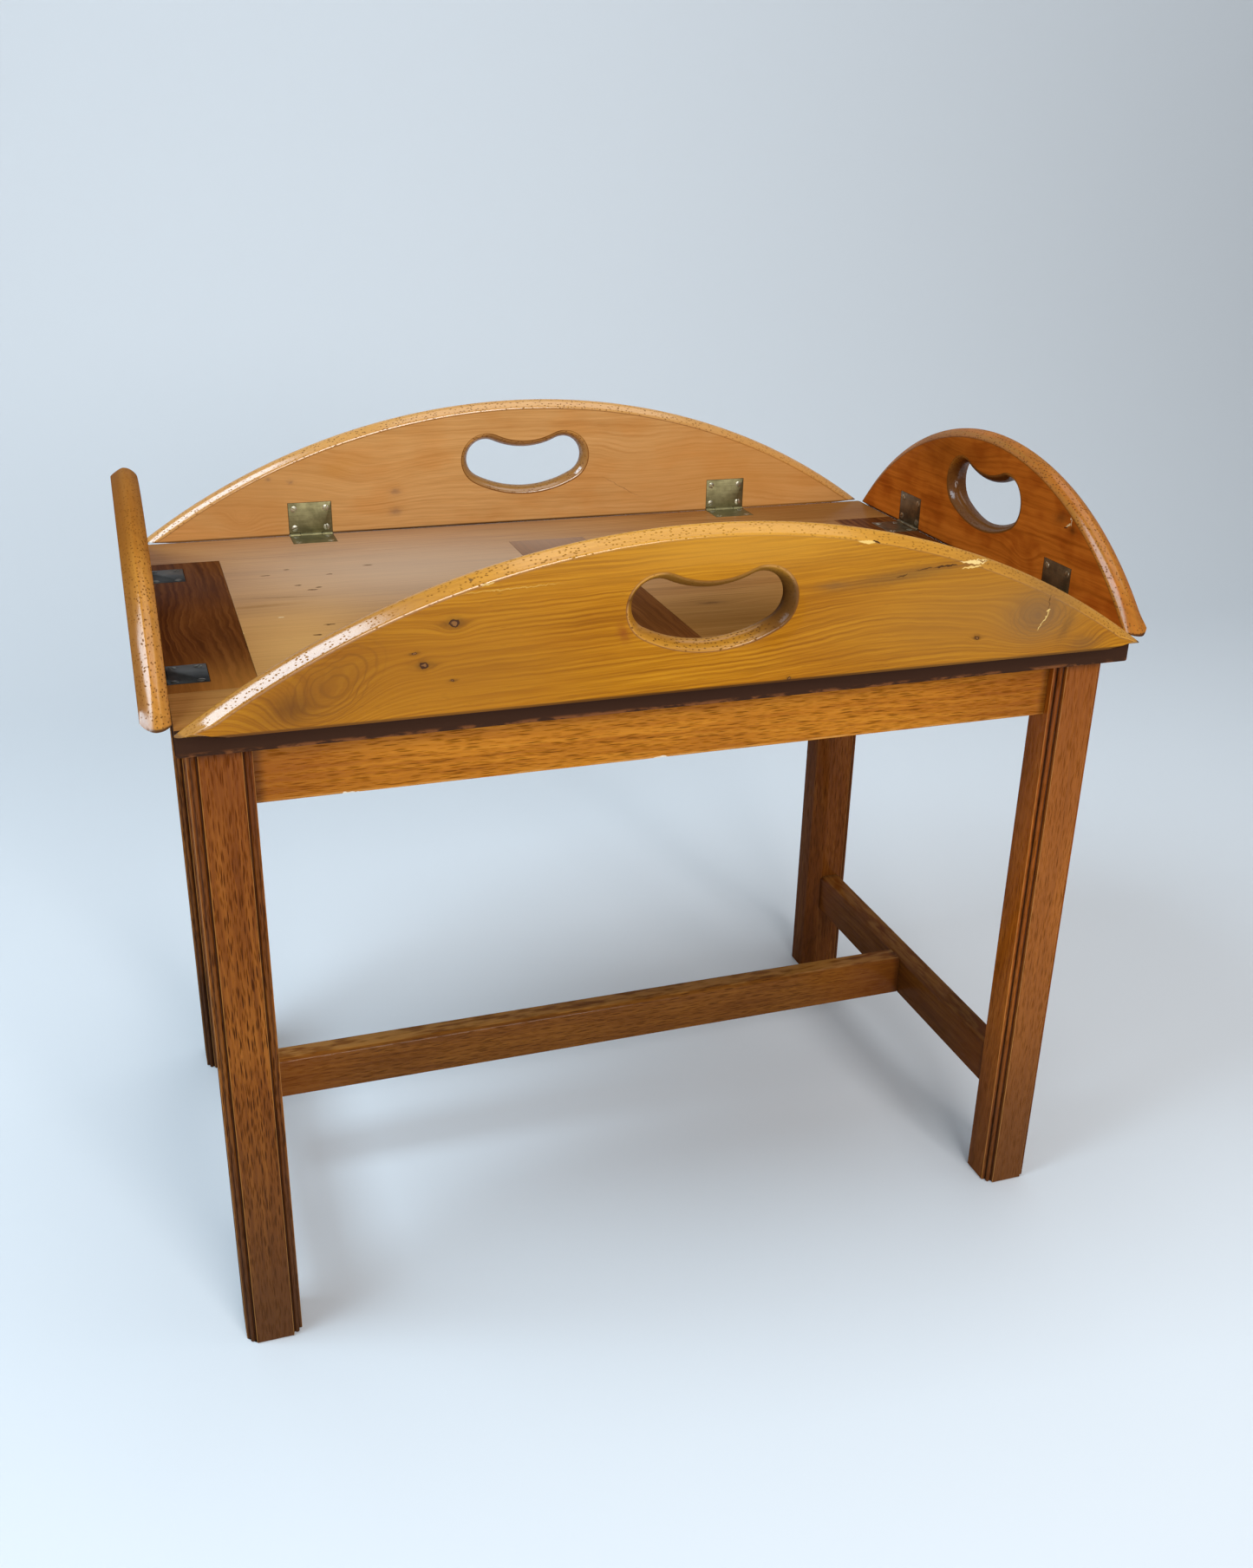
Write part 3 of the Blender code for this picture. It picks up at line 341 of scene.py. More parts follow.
def piece(name, mesh, material, body, slot, replaces=()):
    """A finished piece: its mesh shaded, named, given its material and joined to its body."""
    mesh.name = name
    mesh.materials.clear()
    mesh.materials.append(material)
    mesh.shade_smooth()
    mesh.set_sharp_from_angle(angle=math.radians(SHARP_TURN))
    made = placed(name, mesh)
    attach(made, body)
    if replaces:
        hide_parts(*replaces)


def finish_solids(material, *nodes):
    """The material on solids that are seen as they are."""
    for node in nodes:
        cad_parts[node].material_slots[0].material = material


# The leaves


def hole_loop():
    """The hand hole's outline and its normals out into the wood, in order round its middle.

    Two lobes are joined by a wide arc below and an arc that dips between them, each with
    its centre where it touches both lobes. Returns each point's angle about the hole's
    middle, its place and its normal, with the angles rising from -180 to 180 degrees.
    """
    def centre_height(level):
        """The height on the middle line that is as far from a lobe's centre as from a level."""
        return (LOBE_SPREAD**2 + LOBE_HEIGHT**2 - level**2) / (2 * (LOBE_HEIGHT - level))

    foot = centre_height(HOLE_FOOT_HEIGHT + LOBE_RADIUS)
    dip = centre_height(HOLE_DIP_HEIGHT - LOBE_RADIUS)
    foot_turn = math.degrees(math.atan2(foot - LOBE_HEIGHT, LOBE_SPREAD))
    dip_turn = math.degrees(math.atan2(dip - LOBE_HEIGHT, LOBE_SPREAD))
    arcs = (
        ((LOBE_SPREAD, LOBE_HEIGHT), LOBE_RADIUS, -foot_turn, 180 - dip_turn, 1),
        ((0, dip), dip - HOLE_DIP_HEIGHT, -dip_turn, dip_turn - 180, -1),
        ((-LOBE_SPREAD, LOBE_HEIGHT), LOBE_RADIUS, dip_turn, 180 + foot_turn, 1),
        ((0, foot), foot - HOLE_FOOT_HEIGHT, 180 + foot_turn, 360 - foot_turn, 1),
    )
    places, normals = [], []
    for centre, radius, start, end, sign in arcs:
        points = arc(centre, radius, start, end, HOLE_SAMPLES)[:-1]
        places.append(points)
        normals.append(sign * (points - np.array(centre)) / radius)
    places, normals = np.concatenate(places), np.concatenate(normals)
    angles = np.arctan2(places[:, 1] - hole_middle(), places[:, 0])
    order = np.argsort(angles)
    return angles[order], places[order], normals[order]


def hole_middle():
    """The height from which every ray meets the hand hole's outline once."""
    return (HOLE_FOOT_HEIGHT + HOLE_DIP_HEIGHT) / 2


def edge_rows(sagitta):
    """The section of a rounded edge from the inner face to the outer: insets and depths.

    With s from -1 on the inner face to 1 on the outer one, the inset is the sagitta times
    |s| to a power, which is near an arc on the inner half and flatter on the outer half.
    The two arrises are softened by a quadratic curve and a support line on each face.
    """
    half = LEAF_THICKNESS / 2
    end = 1 - ARRIS_SOFTNESS / half
    share = np.linspace(-end, end, EDGE_ROWS)
    insets = sagitta * np.abs(share) ** np.where(share < 0, INNER_EDGE_POWER, OUTER_EDGE_POWER)
    depths = -half * (1 + share)
    t = np.arange(ARRIS_ROWS) / ARRIS_ROWS
    arrises = [(1 - t) ** 2 * (sagitta + ARRIS_SOFTNESS) + 2 * t * (1 - t) * sagitta + t**2 * inset
               for inset in (insets[0], insets[-1])]
    arris_depth = t**2 * depths[0]
    support = sagitta + ARRIS_SUPPORT
    insets = np.concatenate([[support], arrises[0], insets, arrises[1][::-1], [support]])
    far = -LEAF_THICKNESS - arris_depth[::-1]
    depths = np.concatenate([[0], arris_depth, depths, far, [-LEAF_THICKNESS]])
    return insets, depths


def rounded_tips(surface, tip):
    """A leaf's points with its foot rounded off at both tips.

    With s the depth from -1 to 1 across the thickness, a point rises by the lift times
    |s| to a power, less on the inner half and the farther it is above the foot or in from
    the tip.
    """
    share = 2 * surface[..., 1] / LEAF_THICKNESS + 1
    lift = TIP_LIFT * np.where(share > 0, INNER_TIP_SHARE, 1) * np.abs(share) ** TIP_POWER
    low = np.clip(1 - surface[..., 2] / TIP_REACH, 0, 1)
    out = np.clip((np.abs(surface[..., 0]) - tip) / TIP_REACH + 1, 0, 1)
    raised = surface.copy()
    raised[..., 2] += lift * low * out**2 * (3 - 2 * out)
    return raised


def leaf_surface(half_line, rise):
    """A leaf's surface in its joint's frame, with an attribute that is 1 on its edges.

    The outline is an arc on the joint line. Columns run round it, on rays from the hole's
    middle; rows run over the inner face, the edge, the outer face and the hole's edge.
    """
    radius = (half_line**2 + rise**2) / (2 * rise)
    centre = rise - radius
    insets, depths = edge_rows(EDGE_SAGITTA)
    radii = radius - insets
    tip_turns = np.arccos((FOOT_GAP - centre) / radii)
    # Columns are spread evenly by the sum of their share of the ray's turn and of the arc
    dense = np.linspace(-1, 1, RAY_SAMPLES)
    turns = dense * tip_turns[0]
    x, z = radii[0] * np.sin(turns), centre + radii[0] * np.cos(turns)
    rays = np.unwrap(np.arctan2(z - hole_middle(), x))
    measure = (rays[0] - rays) / (rays[0] - rays[-1]) + (dense + 1) / 2
    across = np.interp(np.linspace(0, measure[-1], ARC_COLUMNS), measure, dense)
    foot_x = radii[0] * np.sin(tip_turns[0]) * dense
    foot_rays = np.arctan2(FOOT_GAP - hole_middle(), foot_x)
    measure = (foot_rays - foot_rays[0]) / (foot_rays[-1] - foot_rays[0]) + (dense + 1) / 2
    along = np.interp(np.linspace(0, measure[-1], FOOT_COLUMNS)[1:-1], measure, dense)[::-1]
    # Edge rows: the arc from the left tip to the right, then the foot back to the left
    arc_turns = tip_turns[:, None] * across
    arc_x, arc_z = radii[:, None] * np.sin(arc_turns), centre + radii[:, None] * np.cos(arc_turns)
    tips = (radii * np.sin(tip_turns))[:, None]
    edge_x = np.concatenate([arc_x, tips * along], axis=1)
    edge_z = np.concatenate([arc_z, np.full((len(radii), len(along)), FOOT_GAP)], axis=1)
    edge = np.stack([edge_x, np.broadcast_to(depths[:, None], edge_x.shape), edge_z], axis=2)
    # Hole rows, on the rays through the face's outer columns
    angles, places, normals = hole_loop()
    rays = np.arctan2(edge_z[0] - hole_middle(), edge_x[0])
    place, normal = (np.stack([np.interp(rays, angles, known[:, i], period=2 * np.pi)
                               for i in (0, 1)], axis=1) for known in (places, normals))
    normal /= np.linalg.norm(normal, axis=1, keepdims=True)
    insets, depths = edge_rows(HOLE_SAGITTA)
    spots = place[None] + insets[:, None, None] * normal[None]
    depth = np.broadcast_to(depths[:, None], spots.shape[:2])
    hole = np.stack([spots[..., 0], depth, spots[..., 1]], axis=2)[::-1]
    edge = rounded_tips(edge, tips[0, 0])
    share = np.linspace(0, 1, FACE_ROWS)[1:-1, None, None]
    inner = hole[-1] * (1 - share) + edge[0] * share
    outer = edge[-1] * (1 - share) + hole[0] * share
    mesh = ring_grid(np.concatenate([inner, edge, outer, hole]))
    on_edge = insets < HOLE_SAGITTA + ARRIS_SUPPORT
    rim = np.concatenate([np.zeros(len(inner)), on_edge, np.zeros(len(outer)), on_edge])
    point_values(mesh, "rim", np.repeat(rim, len(place)))
    return mesh


def joint_frame(side):
    """The matrix from a side's joint frame to the whole frame."""
    turn, distance = SIDES[side][:2]
    place = Matrix.Translation((0, 0, TRAY_HEIGHT)) @ Matrix.Rotation(math.radians(turn), 4, "Z")
    return place @ Matrix.Translation((0, -distance, 0))


def make_leaves(materials):
    """The four leaves, with a recess for each hinge plate."""
    across, reach = HINGE_WIDTH / 2 + FIT_GAP, HINGE_REACH + FIT_GAP
    deep = PLATE_THICKNESS + FIT_GAP
    for side, (_, _, half_line, rise, offset) in SIDES.items():
        cutters = [block((x - across, -deep, -deep), (x + across, deep, reach))
                   for x in (-offset, offset)]
        board = combined(leaf_surface(half_line, rise), cutters, "DIFFERENCE")
        board.transform(joint_frame(side))
        material, slot = materials[side]
        piece(f"{side}_leaf_board", board, material, f"{side}_leaf", slot, [f"leaf_{side}"])


# The hinges


def rimmed_plate(outline, sink, easing):
    """A plate below Z = 0 with a rounded upper rim, down to a depth."""
    shoulder = RIM_SHOULDER * easing
    return stepped(outline, (0, 0, shoulder, easing), (-sink, -easing, -shoulder, 0))


def circle(radius):
    """Points round a circle about the origin."""
    turns = np.linspace(0, 2 * np.pi, ROUND_SIDES, endpoint=False)
    return radius * np.column_stack([np.cos(turns), np.sin(turns)])


def knuckle(low, high):
    """A stretch of knuckle along X, its end arrises eased."""
    full, eased = circle(KNUCKLE_RADIUS), circle(KNUCKLE_RADIUS - PLATE_EASING)
    rings = [np.column_stack([np.full(ROUND_SIDES, x), ring])
             for x, ring in ((low, eased), (low + PLATE_EASING, full),
                             (high - PLATE_EASING, full), (high, eased))]
    return prism(np.array(rings))


def plate_meshes():
    """The tray plate, with two knuckles, and the leaf plate, with one, lying face up."""
    half, middle = HINGE_WIDTH / 2, MIDDLE_KNUCKLE_WIDTH / 2
    side, clear = middle + FIT_GAP, KNUCKLE_RADIUS + FIT_GAP
    corners = [(half, HINGE_REACH), (-half, HINGE_REACH)]
    notched = [(-half, FIT_GAP), (-side, FIT_GAP), (-side, clear), (side, clear), (side, FIT_GAP),
               (half, FIT_GAP), *corners]
    tongued = [(-half, clear), (-middle, clear), (-middle, FIT_GAP), (middle, FIT_GAP),
               (middle, clear), (half, clear), *corners]
    plates = [rimmed_plate(softened(np.array(outline), 2 * PLATE_EASING), PLATE_THICKNESS, PLATE_EASING)
              for outline in (notched, tongued)]
    tray_plate = combined(plates[0], [knuckle(-half, -side), knuckle(side, half)], "UNION")
    return tray_plate, combined(plates[1], [knuckle(-middle, middle)], "UNION")


def screw_head():
    """A slotted countersunk head, a little proud of the plate, about the origin."""
    head = rimmed_plate(circle(SCREW_HEAD_RADIUS), SCREW_HEAD_DEPTH, SCREW_HEAD_EASING)
    half = SCREW_SLOT_WIDTH / 2
    slot = block((-2 * SCREW_HEAD_RADIUS, -half, -SCREW_SLOT_DEPTH),
                 (2 * SCREW_HEAD_RADIUS, half, SCREW_SLOT_DEPTH))
    return moved(combined(head, [slot], "DIFFERENCE"), Matrix.Translation((0, 0, SCREW_HEAD_PROUD)))


def screw_set(head):
    """A plate's four screw heads in one mesh, with old wax and painted shade where they are sunk, a dark ring
    round each head.
    """
    across, far = HINGE_WIDTH / 2 - SCREW_SIDE_INSET, HINGE_REACH - SCREW_FAR_INSET
    spots = ((-across, SCREW_NEAR_INSET), (across, SCREW_NEAR_INSET), (-across, far), (across, far))
    points, faces = [], []
    for (x, y), turn in zip(spots, SCREW_SLOT_TURNS):
        one = moved(head, Matrix.Translation((x, y, 0)) @ Matrix.Rotation(math.radians(turn), 4, "Z"))
        first = len(points)
        points += [tuple(v.co) for v in one.vertices]
        faces += [[first + i for i in p.vertices] for p in one.polygons]
    mesh = bpy.data.meshes.new("screws")
    mesh.from_pydata(points, [], faces)
    # Old wax and painted shade on the sunk part, a dark ring round each head
    point_values(mesh, "wax_and_shade", np.array(points)[:, 2] < SCREW_WAX_AND_SHADE_LEVEL)
    return mesh


def make_hinges(materials):
    """The plates and screws of the eight hinges, and the materials of their pins and springs."""
    tray_plate, leaf_plate = plate_meshes()
    screws = screw_set(screw_head())
    lie = Matrix.Identity(4)
    stand = Matrix.Rotation(math.radians(-90), 4, "X") @ Matrix.Rotation(math.pi, 4, "Z")
    for side in SIDES:
        offset = SIDES[side][4]
        for number, x in (("1", -offset), ("2", offset)):
            hinge = f"hinge_{side}_{number}"
            place = joint_frame(side) @ Matrix.Translation((x, 0, 0))
            for part, mesh, pose, body in (("tray_plate", tray_plate, lie, "tray"),
                                           ("leaf_plate", leaf_plate, stand, f"{side}_leaf")):
                name = f"{hinge}_{part}"
                piece(f"{name}_brass", moved(mesh, place @ pose), materials[side], body,
                      "dull_brass", [name])
                piece(f"{name}_screws", moved(screws, place @ pose), materials[f"{side}_screw"],
                      body, "dull_brass")
            finish_solids(materials["pin"], f"{hinge}_pin")
            finish_solids(materials["spring"], f"{hinge}_spring")


# The stand


def leg_outline():
    """The front left leg's section, how much old wax and painted shade lie at each of its
    points, and which points are on an arris that is rubbed pale.

    Three corners have a bead between two quirks, and the innermost one a plain chamfer.
    """
    reach = MOULDING_REACH
    centre, deep, side = BEAD_CENTRE * reach, QUIRK_DEPTH * reach, QUIRK_SIDE * reach
    bead = arc((centre, centre), BEAD_RADIUS * reach, BEAD_START, BEAD_END, BEAD_POINTS)
    moulded = np.concatenate([[(0, reach), (deep, side)], bead, [(side, deep), (reach, 0)]])
    plain = np.array([(0, LEG_INNER_CHAMFER), (LEG_INNER_CHAMFER, 0)])
    # The wax and painted shade are thin on the bead's crown and thicken over its outer thirds to the quirks
    beside = np.clip(np.abs(np.linspace(-3, 3, len(bead))) - 2, 0, 1)
    wax_and_shade = np.concatenate([[0, 1], BEAD_WAX_AND_SHADE + (1 - BEAD_WAX_AND_SHADE) * beside, [1, 0]])
    arris = np.array([1] + [0] * (len(moulded) - 2) + [1])
    outline, waxes, arrises = [], [], []
    for quarter, corner in enumerate((moulded, moulded, plain, moulded)):
        c, s = math.cos(quarter * math.pi / 2), math.sin(quarter * math.pi / 2)
        outline.append((corner - HALF_LEG) @ np.array([(c, s), (-s, c)]))
        waxes.append(np.zeros(len(corner)) if corner is plain else wax_and_shade)
        arrises.append(np.zeros(len(corner)) if corner is plain else arris)
    points = softened(np.concatenate(outline), LEG_ARRIS_SOFTNESS)
    # Softening makes each corner three points, and the middle one is its arris
    waxes = np.repeat(np.concatenate(waxes), CORNER_STEPS)
    return points, waxes, np.outer(np.concatenate(arrises), (0, 1, 0)).ravel()


def bar_outline(width, depth, chamfer):
    """A rail's section standing on Y = 0, its top arrises chamfered, all arrises softened."""
    half = width / 2
    top = [(half, depth), (-half, depth)]
    if chamfer:
        top = [(half, depth - chamfer), (half - chamfer, depth), (chamfer - half, depth),
               (-half, depth - chamfer)]
    return softened(np.array([(-half, 0), (half, 0), *top]), TIMBER_EASING)


def make_stand(materials):
    """The legs, the aprons and the stretchers, and the pegs' material."""
    slot = "stained_stand_wood"
    outline, *coverings = leg_outline()
    leg = timber(outline, 0, STAND_TOP, TIMBER_EASING)
    for name, covering in zip(("wax_and_shade", "rubbed"), coverings):
        point_values(leg, name, np.tile(covering, len(leg.vertices) // len(covering)))
    for row, y_sign in (("front", -1), ("back", 1)):
        for column, x_sign in (("left", -1), ("right", 1)):
            place = Matrix.Translation((x_sign * LEG_X, y_sign * LEG_Y, 0))
            mesh = moved(leg, place @ Matrix.Diagonal((-x_sign, -y_sign, 1, 1)))
            if x_sign * y_sign < 0:
                mesh.flip_normals()
            piece(f"{row}_{column}_leg", mesh, materials[f"{row}_{column}"], "stand", slot,
                  [f"leg_{row}_{column}"])
            finish_solids(materials["peg"], f"peg_{row}_{column}")
    # Z of a bar is its length, Y is up and X its width
    along_x = Matrix(((0, 0, 1, 0), (1, 0, 0, 0), (0, 1, 0, 0), (0, 0, 0, 1)))
    along_y = Matrix.Rotation(math.pi / 2, 4, "Z") @ along_x
    apron = bar_outline(APRON_THICKNESS, APRON_DEPTH, 0)
    rail = bar_outline(STRETCHER_WIDTH, STRETCHER_DEPTH, STRETCHER_CHAMFER)
    apron_x, apron_y, apron_z = LEG_X + APRON_LINE, LEG_Y + APRON_LINE, STAND_TOP - APRON_DEPTH
    long_half, short_half = LEG_X - HALF_LEG - FIT_GAP, LEG_Y - HALF_LEG - FIT_GAP
    cross_half = LEG_X - STRETCHER_WIDTH / 2 - FIT_GAP
    bars = (
        ("apron_front", apron, long_half, along_x, "apron_front", (0, -apron_y, apron_z)),
        ("apron_back", apron, long_half, along_x, "apron_back", (0, apron_y, apron_z)),
        ("apron_left", apron, short_half, along_y, "apron_y", (-apron_x, 0, apron_z)),
        ("apron_right", apron, short_half, along_y, "apron_y", (apron_x, 0, apron_z)),
        ("stretcher_left", rail, short_half, along_y, "stretcher_y", (-LEG_X, 0, STRETCHER_HEIGHT)),
        ("stretcher_right", rail, short_half, along_y, "stretcher_y", (LEG_X, 0, STRETCHER_HEIGHT)),
        ("stretcher_centre", rail, cross_half, along_x, "stretcher_x", (0, 0, STRETCHER_HEIGHT)),
    )
    for node, outline, half, turn, grain, place in bars:
        mesh = moved(timber(outline, -half, half, RAIL_END_EASING), Matrix.Translation(place) @ turn)
        piece(f"{node}_rail", mesh, materials[grain], "stand", slot, [node])


def make_tray(materials):
    """The tray's boards are the solids; they get their finished materials."""
    finish_solids(materials["along"], "tray_rail_front", "tray_rail_back",
                  "tray_panel_left", "tray_panel_right")
    finish_solids(materials["across"], "tray_stile_left", "tray_stile_right", "tray_muntin")


# Finishes


class Wiring:
    """Adds the nodes of a finish to a material or a group, and joins them up."""

    def __init__(self, tree):
        self.tree = tree

    def feed(self, node, inputs):
        """A node's inputs set to plain values or joined to other nodes' outputs."""
        for key, value in dict(inputs).items():
            if isinstance(value, bpy.types.NodeSocket):
                self.tree.links.new(value, node.inputs[key])
            else:
                node.inputs[key].default_value = value

    def add(self, kind, inputs=(), **settings):
        """A node with its settings and its inputs."""
        node = self.tree.nodes.new(kind)
        for name, value in settings.items():
            setattr(node, name, value)
        self.feed(node, inputs)
        return node

    def group(self, tree, **inputs):
        """The outputs of a node group placed here with its inputs."""
        return self.add("ShaderNodeGroup", inputs, node_tree=tree).outputs

    def maths(self, operation, *values, clamp=False):
        """A sum on numbers, held between 0 and 1 where it is clamped."""
        node = self.add("ShaderNodeMath", enumerate(values), operation=operation, use_clamp=clamp)
        return node.outputs[0]

    def times(self, first, *others):
        """The product of two or more numbers."""
        for other in others:
            first = self.maths("MULTIPLY", first, other)
        return first

    def vector(self, operation, *values):
        """A sum on vectors."""
        return self.add("ShaderNodeVectorMath", enumerate(values), operation=operation).outputs["Vector"]

    def noise(self, place, scale, detail=2, roughness=0.5):
        """A smooth noise from 0 to 1 that changes about scale times a metre along each axis."""
        inputs = {"Vector": self.vector("MULTIPLY", place, scale), "Scale": 1, "Detail": detail,
                  "Roughness": roughness}
        return self.add("ShaderNodeTexNoise", inputs).outputs["Fac"]

    def step(self, value, low, high):
        """0 at the low value and 1 at the high one, smooth between them."""
        inputs = {"Value": value, "From Min": low, "From Max": high}
        return self.add("ShaderNodeMapRange", inputs, interpolation_type="SMOOTHSTEP").outputs[0]

    def between(self, value, low, high):
        """The value 0 to 1 carried to a range."""
        return self.maths("MULTIPLY_ADD", value, high - low, low)

    def ramp(self, value, *stops):
        """A colour that runs evenly through the stops as the value goes from 0 to 1."""
        node = self.add("ShaderNodeValToRGB", {"Fac": value})
        elements = node.color_ramp.elements
        while len(elements) < len(stops):
            elements.new(0.5)
        for number, element in enumerate(elements):
            element.position = number / (len(stops) - 1)
        for element, colour in zip(elements, stops):
            element.color = (*colour, 1)
        return node.outputs["Color"]

    def blend(self, factor, first, second, mode="MIX"):
        """The first colour turned to the second, or multiplied by it, by a factor."""
        node = self.add("ShaderNodeMix", {"Factor": factor}, data_type="RGBA", blend_type=mode)
        for socket, value in ((node.inputs[6], first), (node.inputs[7], second)):
            if isinstance(value, bpy.types.NodeSocket):
                self.tree.links.new(value, socket)
            else:
                socket.default_value = (*value, 1)
        return node.outputs[2]


def new_group(name, inputs, outputs):
    """A node group's wiring, its inputs by name and a function that joins its outputs.

    A socket is a vector where its name is among the vector sockets, and a number otherwise.
    """
    tree = bpy.data.node_groups.new(name, "ShaderNodeTree")
    for direction, names in (("INPUT", inputs), ("OUTPUT", outputs)):
        for socket in names:
            kind = "NodeSocketVector" if socket in VECTOR_SOCKETS else "NodeSocketFloat"
            tree.interface.new_socket(socket, in_out=direction, socket_type=kind)
    wiring = Wiring(tree)
    given = tree.nodes.new("NodeGroupInput").outputs
    wanted = tree.nodes.new("NodeGroupOutput").inputs

    def deliver(**results):
        """The group, with its results joined to its outputs."""
        for socket, value in results.items():
            tree.links.new(value, wanted[socket])
        return tree

    return wiring, given, deliver


def spot_group():
    """How near a place is to a spot: Far is the distance in the spot's own half sizes, and
    Near = exp(-Far^2), for eyes, stains, knots and cracks.
    """
    w, given, deliver = new_group("spot_on_board", ("Place", "Centre", "Size", "Turn"), ("Far", "Near"))
    inputs = {"Vector": given["Place"], "Location": given["Centre"], "Rotation": given["Turn"],
              "Scale": given["Size"]}
    local = w.add("ShaderNodeMapping", inputs, vector_type="TEXTURE").outputs[0]
    far = w.add("ShaderNodeVectorMath", {0: local}, operation="LENGTH").outputs["Value"]
    near = w.maths("EXPONENT", w.times(far, far, -1))
    return deliver(Far=far, Near=near)


def growth_group():
    """The growth rings cut by a board: a ring's place is its distance across the grain,
    slanted through the board and bent by a slope, two noises and the lifts of knots. Bands
    and Lines are noises of the ring's place that hardly change along the grain, Rings rises
    through each ring and falls fast at its end, and Fibre is a fine streak.
    """
    w, given, deliver = new_group(
        "growth_rings", ("Place", "Lift", "Pitch", "Slope", "Waviness", "Ripple"),
        ("Bands", "Lines", "Rings", "Fibre"))
    place = given["Place"]
    u, v, depth = w.add("ShaderNodeSeparateXYZ", {0: place}).outputs
    wide = w.maths("SUBTRACT", w.noise(place, WIDE_BEND), 0.5)
    curly = w.maths("SUBTRACT", w.noise(place, CURLY_BEND, 3), 0.5)
    ring = w.maths("MULTIPLY_ADD", depth, DEPTH_SLANT, v)
    for bend, share in ((wide, "Waviness"), (curly, "Ripple"), (u, "Slope")):
        ring = w.maths("MULTIPLY_ADD", bend, given[share], ring)
    ring = w.maths("ADD", ring, given["Lift"])
    across = w.maths("DIVIDE", ring, given["Pitch"])
    spread = w.add("ShaderNodeCombineXYZ", {0: u, 1: across}).outputs[0]
    bands = w.noise(spread, BAND_SCALE)
    lines = w.noise(spread, LINE_SCALE, 3, 0.6)
    turn = w.maths("FRACT", w.times(across, RING_COUNT))
    rings = w.times(w.step(turn, *RING_DARKENS), w.step(turn, *RING_ENDS))
    fibre = w.noise(place, FIBRE_SCALE)
    return deliver(Bands=bands, Lines=lines, Rings=rings, Fibre=fibre)


def dash_group():
    """Short dark dashes along the grain: cells stretched along it, inked near their
    centres, and only where a broad noise is above the Bareness.
    """
    w, given, deliver = new_group("dashes", ("Place", "Size", "Width", "Bareness"), ("Ink",))
    stretched = w.vector("DIVIDE", given["Place"], given["Size"])
    cell = w.add("ShaderNodeTexVoronoi", {"Vector": stretched, "Scale": 1}).outputs["Distance"]
    ink = w.step(cell, given["Width"], w.times(given["Width"], DASH_HEART))
    broad = w.noise(stretched, CLEARING_SCALE, 1)
    clear = w.maths("ADD", given["Bareness"], CLEARING_EDGE)
    return deliver(Ink=w.times(ink, w.step(broad, given["Bareness"], clear)))


